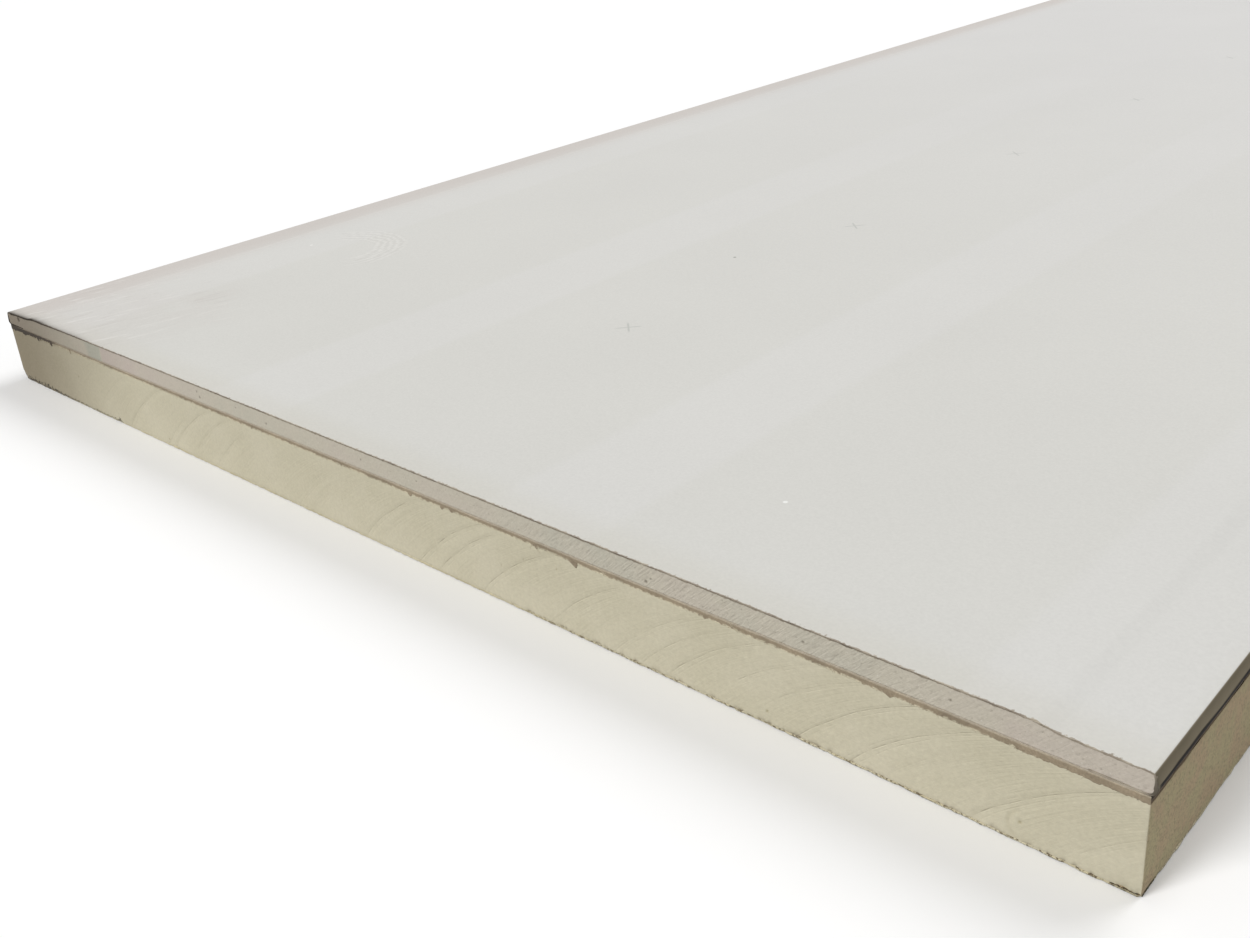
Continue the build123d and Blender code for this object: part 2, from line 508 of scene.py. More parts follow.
def foamMaterial():
    # Rigid polyisocyanurate foam, sawn: cells too fine to see one by one, so it looks dull,
    # cream and faintly grained, with the hair-fine tracks of the blade. The long sides are
    # mottled from lying in a stack.
    colours = {
        "clean": "#dfd8c0", "clouded": "#dad3ba", "groove": "#b8ae8e", "sideBrown": "#d4bd9b",
        "sideOlive": "#d0c39b", "speck": "#6b563c", "soot": "#2f281f", "sideSpeck": "#6f6148",
    }
    cloudSize, grainSize, cellSize, mottleSize = 34.0, 2.0, 1.0, 14.0
    trackSize, speckleSize, lineSize, chipSize, dashSize = 1.7, 1.2, 0.75, 2.4, 6.0
    # the groove colour darkens the saw marks and the hook, partly as dust and partly as painted shade in
    # their hollows
    tints = (
        ("line", "groove", 0.08), ("besideLine", "groove", 0.05), ("hook", "groove", 0.2),
        ("pit", "groove", 0.9), ("broken", "groove", 0.5), ("edgeDirt", "speck", 0.7), ("chip", "soot", 0.85),
    )
    material, tree, place, colours, masks = newMaterial("sawn_rigid_foam", 0.92, 1.45, colours, (
        "past", "mark", "besidePast", "besideMark", "hook", "pit", "dirt", "longSide", "edgeDirt",
        "broken", "track", "soot",
    ))
    height = addNode(tree, "SeparateXYZ", {0: place}, 2)
    clouds = addNode(tree, "TexNoise", {"Vector": place, "Scale": scaleFor(cloudSize), "Detail": 3.0})
    cloudy = addNode(tree, "MapRange", {0: clouds, 1: 0.35, 2: 0.65})
    colour = layOver(tree, colours["clean"], (colours["clouded"], cloudy))
    # a little paler towards the underside
    colour = shadeBy(tree, colour, height, (3 * mm, 34 * mm), (1.055, 0.98))
    browner = patchesOf(tree, place, mottleSize, 4.0, (0.4, 0.6))
    speckled = patchesOf(tree, place, speckleSize, 3.0, (0.48, 0.7), (0.0, 0.5), 0.7)
    sideColour = layOver(
        tree, colours["sideOlive"], (colours["sideBrown"], browner), (colours["sideSpeck"], speckled),
    )
    colour = layOver(tree, colour, (sideColour, masks["longSide"], 0.9))

    # the fine line of each tooth, and of the fainter marks beside it, weaker in places; its darker colour is
    # partly dust and partly painted shade
    dashed = patchesOf(tree, place, dashSize, 2.0, (0.42, 0.6), (0.15, 1.0))
    for line, past, mark in (("line", "past", "mark"), ("besideLine", "besidePast", "besideMark")):
        away = addNode(tree, "Math", {"operation": "ABSOLUTE", 0: masks[past]})
        onLine = addNode(
            tree, "MapRange", {"interpolation_type": "SMOOTHSTEP", 0: away, 2: lineSize, 3: 1.0, 4: 0.0},
        )
        marked = addNode(tree, "Math", {"operation": "MULTIPLY", 0: onLine, 1: masks[mark]})
        masks[line] = addNode(tree, "Math", {"operation": "MULTIPLY", 0: marked, 1: dashed})
    # soot lies in chips along the lower edge: noise breaks how far it climbs
    climbShare = patchesOf(tree, place, chipSize, 3.0, (0.42, 0.68), roughness=0.6)
    climb = addNode(tree, "Math", {"operation": "MULTIPLY", 0: climbShare, 1: masks["soot"]})
    above = addNode(tree, "Math", {"operation": "SUBTRACT", 0: height, 1: 0.8 * mm})
    inSoot = addNode(tree, "Math", {"operation": "SUBTRACT", 0: climb, 1: above})
    masks["chip"] = addNode(tree, "MapRange", {0: inSoot, 2: 0.3 * mm})
    # the edge mask lays the speck colour as brown crumbs along the lower edge of the cut and as painted shade
    # along the top of the long sides
    for mask, tint, share in tints:
        colour = layOver(tree, colour, (colours[tint], masks[mask], share))
    colour = darkenLeftEnd(tree, colour, masks["dirt"])
    grain = addNode(tree, "TexNoise", {"Vector": place, "Scale": scaleFor(grainSize), "Detail": 4.0})
    colour = shadeBy(tree, colour, grain, (0.3, 0.7), (0.95, 1.045))

    # hair-fine tracks: noise that is short across the blade's track and long up the sheet's edge,
    # in patches, and none on the long sides
    slowUp = addNode(tree, "Math", {"operation": "MULTIPLY", 0: height, 1: 0.1})
    onTrack = addNode(tree, "CombineXYZ", {0: masks["track"], 2: slowUp})
    tracks = addNode(tree, "TexNoise", {"Vector": onTrack, "Scale": scaleFor(trackSize), "Detail": 3.0})
    patches = addNode(tree, "MapRange", {0: clouds, 1: 0.4, 2: 0.65, 3: 0.3, 4: 1.0})
    onEnds = addNode(tree, "Math", {"operation": "SUBTRACT", 0: 1.0, 1: masks["longSide"]})
    patched = addNode(tree, "Math", {"operation": "MULTIPLY", 0: patches, 1: onEnds})
    cells = addNode(tree, "TexNoise", {"Vector": place, "Scale": scaleFor(cellSize), "Detail": 2.0})
    bothLines = addNode(tree, "Math", {"operation": "ADD", 0: masks["line"], 1: masks["besideLine"]})
    normal = addNode(tree, "Bump", {"Strength": 0.6, "Distance": 0.18 * mm, "Height": cells})
    normal = addNode(
        tree, "Bump", {"Strength": patched, "Distance": 0.17 * mm, "Height": tracks, "Normal": normal},
    )
    normal = addNode(
        tree, "Bump",
        {"Strength": 1.0, "Distance": 0.18 * mm, "invert": True, "Height": bothLines, "Normal": normal},
    )
    return finishMaterial(material, colour, normal)


# Facers of the foam board

upperFacer = {
    "rim": {
        "cornerRadius": 0.6, "cornerSteps": 3, "frontPitch": 0.6, "rearPitch": 2.0,
        "sidePitch": 1.0, "sideGrowth": 1.03, "sideLargest": 8.0,
    },
    "lip": 0.1,              # the torn fibres hang this far behind the nominal end
    "capInset": 12.0,
    "droop": 0.3,            # how far the torn edge hangs over the foam, on average
    # how thick the brown layer shows across the sheet; the rest of this node is pale foam skin
    "thickness": [
        (-450, 2.9), (-420, 2.7), (-395, 2.1), (-377, 2.1), (-367, 1.0), (-306, 1.2), (-290, 1.6),
        (-216, 1.8), (-196, 2.1), (100, 2.1), (300, 2.2), (330, 2.1), (345, 2.6), (380, 2.3),
        (410, 2.8), (450, 3.0),
    ],
    "rearThickness": 1.8,
    "sideThickness": 3.4,
    "dirtyEnd": -380.0,      # ragged and sooty to the left of here
    "longEnd": 385.0,        # and hanging a little longer to the right of here
    "rearShift": 31.0,       # the rear end repeats the front's tears, turned round and shifted
    "fibres": 560,
    "fibreLength": (0.5, 2.2),
    "fibreRadius": (0.035, 0.08),
    # larger tears: where the tip is across the sheet, how far the tear spreads to the left and to
    # the right of it, and how far it hangs
    "tears": [
        (-424, 4.0, 3.0, 2.2), (-402, 2.0, 3.0, 1.6), (-379, 3.0, 2.0, 2.2), (-348, 2.2, 1.5, 1.8),
        (-106, 1.6, 1.0, 1.0), (49, 3.0, 1.6, 1.6), (75, 1.5, 2.0, 1.6), (83, 2.4, 3.0, 1.0),
        (147, 1.8, 1.2, 1.6), (174, 5.5, 1.4, 3.0), (253, 2.2, 2.0, 1.0), (346, 3.6, 2.4, 1.6),
    ],
    # pale hairs that were drawn out of the cut: place, and where the tip is from there
    "hairs": [
        (144.5, 43.0, -2.0, -3.6), (147.0, 42.8, 2.4, -3.0), (148.0, 43.4, 3.6, -1.2),
        (268.0, 45.6, 3.6, -4.0), (266.5, 45.2, 5.4, -2.6), (190.0, 44.6, 5.0, -0.6),
        (192.0, 43.8, 4.6, -1.8),
    ],
    "hairRadius": 0.13,
}


def facerTears(x):
    # how far the larger tears hang at x: each is a triangle with its tip down
    hang = x * 0
    for tip, left, right, length in upperFacer["tears"]:
        spread = np.where(x < tip, left, right)
        hang = np.maximum(hang, length * np.clip(1 - np.abs(x - tip) / spread, 0, 1))
    return hang


def facerDroop(x):
    # How far the facer's torn lower edge hangs down at x: fine tears on a slow swell, long and
    # ragged at the dirty left end and a little longer at the right end.
    flat = x * 0
    fine = np.abs(layeredNoise(x, flat, 3.2, 81)) + 0.6 * np.abs(layeredNoise(x, flat, 1.5, 83, 2))
    slow = 0.5 + 0.5 * layeredNoise(x, flat, 60.0, 87)
    ragged = np.clip(0.6 + 1.3 * layeredNoise(x, flat, 5.0, 89), 0.1, 2)
    dirty = 1 - smooth((x - upperFacer["dirtyEnd"]) / 10)
    ends = 1 + 2.8 * dirty * ragged + 1.2 * smooth((x - upperFacer["longEnd"]) / 30)
    return np.maximum(upperFacer["droop"] * (slow + 1.4 * fine) * ends, facerTears(x))


def makeUpperFacer(material):
    low, high = boxOf("upper_facer")
    place, outward = rimOf(low, high, upperFacer["rim"])
    front, rear, side = endShares(outward)
    across = place[:, 0]
    run = np.where(side > 0.5, place[:, 1], across)
    turned = upperFacer["rearShift"] - across
    droop = front * facerDroop(across) + rear * facerDroop(turned)
    droop = droop + side * 0.8 * np.clip(layeredNoise(run, run * 0, 9.0, 91) + 0.2, 0, 1)
    lip, thick, capInset = upperFacer["lip"], high[2] - low[2], upperFacer["capInset"]
    # rows from below: inset, share of the droop, height above the facer's underside, fibre roughness
    rows = [
        (capInset, 0.0, 0.0, 0.0), (0.36, 0.0, 0.0, 0.0), (0.26, 0.9, 0.0, 0.0), (0.14, 1.0, 0.0, 0.3),
        (lip, 0.85, 0.0, 0.6), (lip, 0.45, 0.0, 1.0), (lip, 0.0, 0.25, 1.0), (lip, 0.0, 0.8, 1.0),
        (lip, 0.0, 1.35, 1.0), (lip, 0.0, 1.9, 1.0), (lip + 0.06, 0.0, 2.28, 0.6),
        (lip + 0.3, 0.0, thick, 0.0), (capInset, 0.0, thick, 0.0),
    ]
    inset, hang, rise, rough = (np.array(column)[:, None] for column in zip(*rows))
    z = low[2] + rise - hang * droop
    torn = 0.12 + 0.12 * layeredNoise(run + 0 * z, z * 3, 1.8, 95)
    torn = torn + side * (0.25 + 0.5 * np.clip(layeredNoise(run + 0 * z, z * 2, 11.0, 97), 0, 1))
    torn = torn + side * 0.5 * smooth((rise - 1.2) / 1.2)
    points = setBack(across, place[:, 1], z, outward, inset + rough * torn).reshape(-1, 3)

    # how far inside the brown layer each point lies, and how near the top
    thickness = front * valueAt(upperFacer["thickness"], across)
    thickness = thickness + rear * upperFacer["rearThickness"] + side * upperFacer["sideThickness"]
    torn = front * facerTears(across) + rear * facerTears(turned)
    soot = front * (1 - smooth((across - upperFacer["dirtyEnd"]) / 12))
    masks = {
        "cover": rise - thick + thickness + 2.0 * np.clip(torn - 0.4, 0, 1) + 0 * z,
        "height": rise / thick + 0 * z,
        "dirt": front * leftDarkeningAt(across + 0 * z, z),
        # on the long sides the upper part of this soot mask is painted shade under the overhanging bound edge
        "soot": soot + side * 1.17 * smooth((rise - 0.4) / 0.6) + 0 * z,
        "longSide": side + 0 * z,
    }

    # loose fibres that hang from the torn edge, and a few pale hairs
    draw = np.random.default_rng(12)
    count = upperFacer["fibres"]
    rootX = draw.uniform(low[0] + 1, high[0] - 1, count)
    rootZ = high[2] - valueAt(upperFacer["thickness"], rootX) + draw.uniform(-0.3, 0.5, count)
    rootZ = np.clip(rootZ, low[2] - 0.6, high[2] - 0.3)
    roots = np.stack([rootX, np.full(count, low[1] + 0.16), rootZ], -1)
    reach = draw.uniform(*upperFacer["fibreLength"], count) * draw.uniform(0.4, 1, count)
    lean = np.clip(draw.normal(0, 0.9, count), -1.4, 1.4)
    forward = draw.uniform(-0.08, 0.0, count)
    tips = roots + np.stack([reach * np.sin(lean), forward, -reach * np.cos(lean)], -1)
    bend = np.stack([draw.normal(0, 0.15, count), 0 * rootX, draw.normal(0, 0.1, count)], -1)
    radius = draw.uniform(*upperFacer["fibreRadius"], count)
    hairX, hairZ, tipX, tipZ = np.array(upperFacer["hairs"]).T
    hairRoots = np.stack([hairX, 0 * hairX + low[1] + 0.2, hairZ], -1)
    hairTips = hairRoots + np.stack([tipX, 0 * hairX - 0.06, tipZ], -1)
    hairBend = np.stack([0.2 * tipZ, 0 * tipX, -0.12 * tipX], -1)
    pairs = (
        (roots, hairRoots), (tips, hairTips), (bend, hairBend),
        (radius, 0 * hairX + upperFacer["hairRadius"]),
    )
    fibres = fibreTubes(*(np.concatenate(pair) for pair in pairs))
    spots = fibres[0]
    spots[:, 1] = np.maximum(spots[:, 1], low[1] + 0.02)
    total = count + len(hairX)
    pale = np.repeat(np.arange(total) >= count, len(spots) // total)
    fibreMasks = {
        "cover": np.where(pale, -2.0, 1.0), "height": 0.3 + 0 * pale, "longSide": 0.0 * pale,
        "dirt": leftDarkeningAt(spots[:, 0], spots[:, 2]),
        "soot": 1 - smooth((spots[:, 0] - upperFacer["dirtyEnd"]) / 12),
    }
    arrays = withFibres(points, *slabFaces(*z.shape), masks, fibres, fibreMasks)
    makePiece("torn_upper_facer", "upper_facer", "facer", *arrays, material)


def facerMaterial():
    # Kraft facer with its bond line and the resin-stained skin of the foam under it: dull brown
    # fibres, dusty and paler along the bond, with a ragged lower edge where the pale skin begins.
    colours = {
        "bond": "#b8ac97", "fibre": "#a0917b", "skin": "#d6cdb3", "soot": "#3a3026", "side": "#6f5f4c",
    }
    raggedSize, fibreSize, stainSize = 3.0, 0.8, 14.0
    material, tree, place, colours, masks = newMaterial(
        "torn_kraft_facer", 0.9, 1.5, colours, ("cover", "height", "dirt", "soot", "longSide"),
    )
    ragged = addNode(
        tree, "TexNoise", {"Vector": place, "Scale": scaleFor(raggedSize), "Detail": 5.0, "Roughness": 0.65},
    )
    shifted = addNode(tree, "Math", {"operation": "MULTIPLY_ADD", 0: ragged, 1: 3.2, 2: masks["cover"]})
    brown = addNode(tree, "MapRange", {0: shifted, 1: 1.35, 2: 1.85})
    nearBond = addNode(tree, "Math", {"operation": "MULTIPLY_ADD", 0: ragged, 1: 0.6, 2: masks["height"]})
    upper = addNode(tree, "MapRange", {0: nearBond, 1: 1.0, 2: 1.25})
    bonded = addNode(tree, "Math", {"operation": "MULTIPLY", 0: upper, 1: brown})
    colour = layOver(tree, colours["skin"], (colours["fibre"], brown), (colours["bond"], bonded))
    # the soot tint is soot at the ragged left end and, on the long sides, painted shade under the overhanging
    # bound edge
    for mask, tint, share in (("longSide", "side", 0.8), ("soot", "soot", 0.85)):
        amount = addNode(tree, "Math", {"operation": "MULTIPLY", 0: masks[mask], 1: share})
        where = addNode(tree, "Math", {"operation": "MULTIPLY", 0: amount, 1: brown})
        colour = layOver(tree, colour, (colours[tint], where))
    colour = darkenLeftEnd(tree, colour, masks["dirt"])
    fibres = addNode(tree, "TexNoise", {"Vector": place, "Scale": scaleFor(fibreSize), "Detail": 3.0})
    stains = addNode(tree, "TexNoise", {"Vector": place, "Scale": scaleFor(stainSize), "Detail": 3.0})
    colour = shadeBy(tree, colour, fibres, (0.3, 0.7), (0.86, 1.12))
    colour = shadeBy(tree, colour, stains, (0.35, 0.65), (0.84, 1.14))
    normal = addNode(tree, "Bump", {"Strength": 0.6, "Distance": 0.15 * mm, "Height": fibres})
    return finishMaterial(material, colour, normal)


lowerFacer = {
    "rim": {
        "cornerRadius": 0.6, "cornerSteps": 3, "frontPitch": 0.7, "rearPitch": 3.0,
        "sidePitch": 1.2, "sideGrowth": 1.04, "sideLargest": 10.0,
    },
    "edge": 0.15,
    "rowPitch": 0.25,
    "capInset": 12.0,
    "ragged": 0.5,
    # how much of the cut is specked across the sheet: dirty at the left end, crumbled at the right
    "specked": [(-450, 0.3), (-286, 0.1), (-40, 0.08), (115, 0.15), (150, 0.75), (450, 0.9)],
    # and how sooty it is
    "sooty": [(-450, 1.0), (-400, 1.0), (-375, 0.7), (-350, 0.45), (-296, 0.4), (-293, 1.0), (-286, 0.0)],
}


def makeLowerFacer(material):
    (low, _), outward, inset, wall, (x, y, z) = slabGrid("lower_facer", lowerFacer)
    run = np.where(np.abs(outward[:, 0]) > 0.7, y, x)
    ragged = lowerFacer["ragged"] * np.clip(layeredNoise(run, z * 0.4, 2.8, 101) + 0.3, 0, 1)
    ragged = ragged + 0.3 * np.clip(layeredNoise(run, z * 0.2, 13.0, 103), 0, 1)
    worn = smooth((x - foam["cornerFrom"]) / 14) * np.exp(-(y - low[1]) / 8)
    points = setBack(x, y, z, outward, inset + wall * (0.15 + ragged + 1.3 * worn))
    # pressed back behind the broken corner, level by level
    beyond, facing = beyondBreak(points, low, 0.4)
    beyond = beyond * wall
    points = points + beyond[..., None] * facing * np.array([1, 1, 0])
    front = endShares(outward)[0]
    soot = front * valueAt(lowerFacer["sooty"], x) + smooth(beyond)
    masks = {
        "speck": front * valueAt(lowerFacer["specked"], x) + (1 - front) * 0.5,
        "dirt": front * leftDarkeningAt(x, z),
        "soot": np.clip(soot, 0, 1),
    }
    faces = slabFaces(*z.shape)
    makePiece("ragged_lower_facer", "lower_facer", "lower_facer", points, *faces, masks, material)


def lowerFacerMaterial():
    # Thin pale facer on the underside: smooth cream paper whose cut edge is specked with brown.
    colours = {"paper": "#ded6bb", "shade": "#d2c8a8", "speck": "#5f4e36", "soot": "#332c23"}
    cloudSize, speckSize, fibreSize = 22.0, 1.1, 1.2
    material, tree, place, colours, masks = newMaterial(
        "thin_glass_paper_facer", 0.8, 1.5, colours, ("speck", "dirt", "soot"),
    )
    cloudy = patchesOf(tree, place, cloudSize, 4.0, (0.35, 0.65))
    colour = layOver(tree, colours["paper"], (colours["shade"], cloudy))
    specks = addNode(
        tree, "TexNoise", {"Vector": place, "Scale": scaleFor(speckSize), "Detail": 3.0, "Roughness": 0.6},
    )
    for mask, low, high in (("speck", 0.48, 0.58), ("soot", 0.43, 0.54)):
        spotted = addNode(tree, "MapRange", {0: specks, 1: low, 2: high})
        colour = layOver(tree, colour, (colours[mask], spotted, masks[mask]))
    colour = darkenLeftEnd(tree, colour, masks["dirt"])
    fibres = addNode(tree, "TexNoise", {"Vector": place, "Scale": scaleFor(fibreSize), "Detail": 3.0})
    normal = addNode(tree, "Bump", {"Strength": 0.4, "Distance": 0.08 * mm, "Height": fibres})
    return finishMaterial(material, colour, normal)


# Back paper of the gypsum board

backPaper = {
    "rim": {
        "cornerRadius": 0.4, "cornerSteps": 2, "frontPitch": 0.8, "rearPitch": 2.0,
        "sidePitch": 1.5, "sideGrowth": 1.02, "sideLargest": 8.0,
    },
    "edge": 0.08,
    "rowPitch": 0.15,
    "capInset": 12.0,
    "recess": 0.12,
    "ragged": 0.35,
}


def makeBackPaper(material):
    _, outward, inset, wall, (x, y, z) = slabGrid("back_paper", backPaper)
    torn = backPaper["ragged"] * np.clip(layeredNoise(x + y, z * 0, 2.6, 111) + 0.3, 0, 1)
    points = setBack(x, y, z, outward, inset + wall * (backPaper["recess"] + torn))
    masks = {"dirt": endShares(outward)[0] * leftDarkeningAt(x, z)}
    makePiece("back_liner", "back_paper", "back_paper", points, *slabFaces(*z.shape), masks, material)


def backPaperMaterial():
    # Recycled grey-brown liner, dusted pale by the saw: matte, with short fibres of mixed colour.
    colours = {"liner": "#b6aa98", "fibre": "#c6bbab"}
    fibreSize = 1.0
    material, tree, place, colours, masks = newMaterial("recycled_back_liner", 0.9, 1.5, colours, ("dirt",))
    fibres = addNode(tree, "TexNoise", {"Vector": place, "Scale": scaleFor(fibreSize), "Detail": 4.0})
    mixed = addNode(tree, "MapRange", {0: fibres, 1: 0.35, 2: 0.65})
    colour = layOver(tree, colours["liner"], (colours["fibre"], mixed))
    colour = darkenLeftEnd(tree, colour, masks["dirt"])
    normal = addNode(tree, "Bump", {"Strength": 0.5, "Distance": 0.1 * mm, "Height": fibres})
    return finishMaterial(material, colour, normal)


# Section of the bound board

board = {
    "paperThickness": 0.5,
    "foldLap": 24.0,         # face paper turned in under the core, from the bound edge
    "taperWidth": 44.0,
    "stepWidth": 8.0,
    "stepDepth": 1.4,
    "taperDepth": 2.2,
    "crestRadius": 12.0,
    "footRadius": 14.0,
    "edgeLean": 15.0,        # the bound edge leans outwards going down
    "edgeTopRadius": 1.0,
    "noseRadius": 3.5,
    "edgeRun": 20.0,         # how far round each edge the fine steps go
}


def roundedPath(corners, radii, arcSteps=14):
    # Straight runs joined by tangent arcs. An arc starts radius * tan(turn / 2) before its corner.
    corners = np.array(corners, float)
    points = [corners[:1]]
    for before, corner, after, radius in zip(corners, corners[1:], corners[2:], radii):
        into = (corner - before) / np.linalg.norm(corner - before)
        out = (after - corner) / np.linalg.norm(after - corner)
        turn = np.arctan2(into[0] * out[1] - into[1] * out[0], into @ out)
        start = corner - into * radius * np.tan(abs(turn) / 2)
        spoke = np.array([into[1], -into[0]]) * radius * np.sign(turn)
        angle = np.linspace(0, turn, arcSteps)[:, None]
        turned = np.cos(angle) * spoke + np.sin(angle) * np.array([-spoke[1], spoke[0]])
        points.append(start - spoke + turned)
    points.append(corners[-1:])
    return np.concatenate(points)


def boardOutline(pitch, finePitch):
    # The face paper's outer line, from the end of its left fold round the left edge, over the
    # face and round to the end of the right fold: coarse steps on the folds, fine ones round the
    # edges and even ones over the face. Gives each point's place and its outward direction.
    low, high = boxOf("face_paper")
    halfWidth, fold, face = high[0], low[2], high[2]
    lean = radians(board["edgeLean"])
    setback = board["noseRadius"] / np.tan((np.pi / 2 - lean) / 2)
    sharpX = halfWidth - board["noseRadius"] + setback
    crestX = halfWidth - board["taperWidth"]
    topX = sharpX - (face - board["taperDepth"] - fold) * np.tan(lean)
    half = roundedPath(
        [
            (0, face), (crestX, face), (crestX + board["stepWidth"], face - board["stepDepth"]),
            (topX, face - board["taperDepth"]), (sharpX, fold), (halfWidth - board["foldLap"], fold),
        ],
        [board["crestRadius"], board["footRadius"], board["edgeTopRadius"], board["noseRadius"]],
    )
    line = np.concatenate([half[::-1] * [-1, 1], half[1:]])
    walked = np.concatenate([[0], np.cumsum(np.hypot(*np.diff(line, axis=0).T))])
    foldRun, edgeRun = board["foldLap"] - board["noseRadius"] - 2, board["edgeRun"]
    folded = np.linspace(0, foldRun, int(foldRun / 2) + 1)[:-1]
    edge = np.linspace(foldRun, foldRun + edgeRun, int(edgeRun / finePitch) + 1)[:-1]
    over = growingSteps(walked[-1] - 2 * (foldRun + edgeRun), finePitch, 1.12, pitch) + foldRun + edgeRun
    start = np.concatenate([folded, edge])
    steps = np.concatenate([start, over, walked[-1] - start[::-1]])
    outer = np.stack([np.interp(steps, walked, line[:, 0]), np.interp(steps, walked, line[:, 1])], -1)
    along = np.gradient(outer, axis=0)
    along /= np.linalg.norm(along, axis=1)[:, None]
    return outer, np.stack([-along[:, 1], along[:, 0]], -1)


# Face paper

facePaper = {
    "pitch": 0.95,
    "finePitch": 0.32,
    "innerStep": 3,          # one point inside for every three outside
    "rowFirst": 0.3,
    "rowGrowth": 1.45,
    "rowLargest": 80.0,
    "settle": 0.16,          # the face lies this far under the nominal height
    "wave": 0.09,
    "waveSize": 260.0,
    "ragged": 0.6,           # how unevenly the saw has torn the cut edge
    "burr": 0.15,
    "tearRun": 1.6,          # how far back the tearing shows
    "hang": 0.3,             # how far the torn lip hangs over the core
    # the paper is frayed where it turns round the nose: height of the middle, half height, how far
    # it swells outwards and how far inwards over the core
    "fray": (48.8, 4.2, 0.4, 1.3),
    # places across the sheet where the torn paper stands right out
    "burrs": [(-359, 3), (-106, 2), (55, 2), (165, 2), (253, 3), (328, 3), (414, 5)],
    "gapShadowHeight": 50.1,       # below this the turned-in paper is painted nearly black, beside the foam's facer: painted shadow of the gap
    "noseSoot": 6.0,         # the frayed nose is sooty this far above and below its middle
    "hangEnd": -378.0,       # the torn lip hangs longer to the left of here
    "sootEnd": -392.0,       # the soot along the cut begins to fade here
    "sootFade": -345.0,      # and fades on from here
    "fibres": 420,
}


def faceDip(x, y):
    # how far the face has settled: long shallow waves
    return facePaper["settle"] + facePaper["wave"] * layeredNoise(x, y, facePaper["waveSize"], 121, 2)


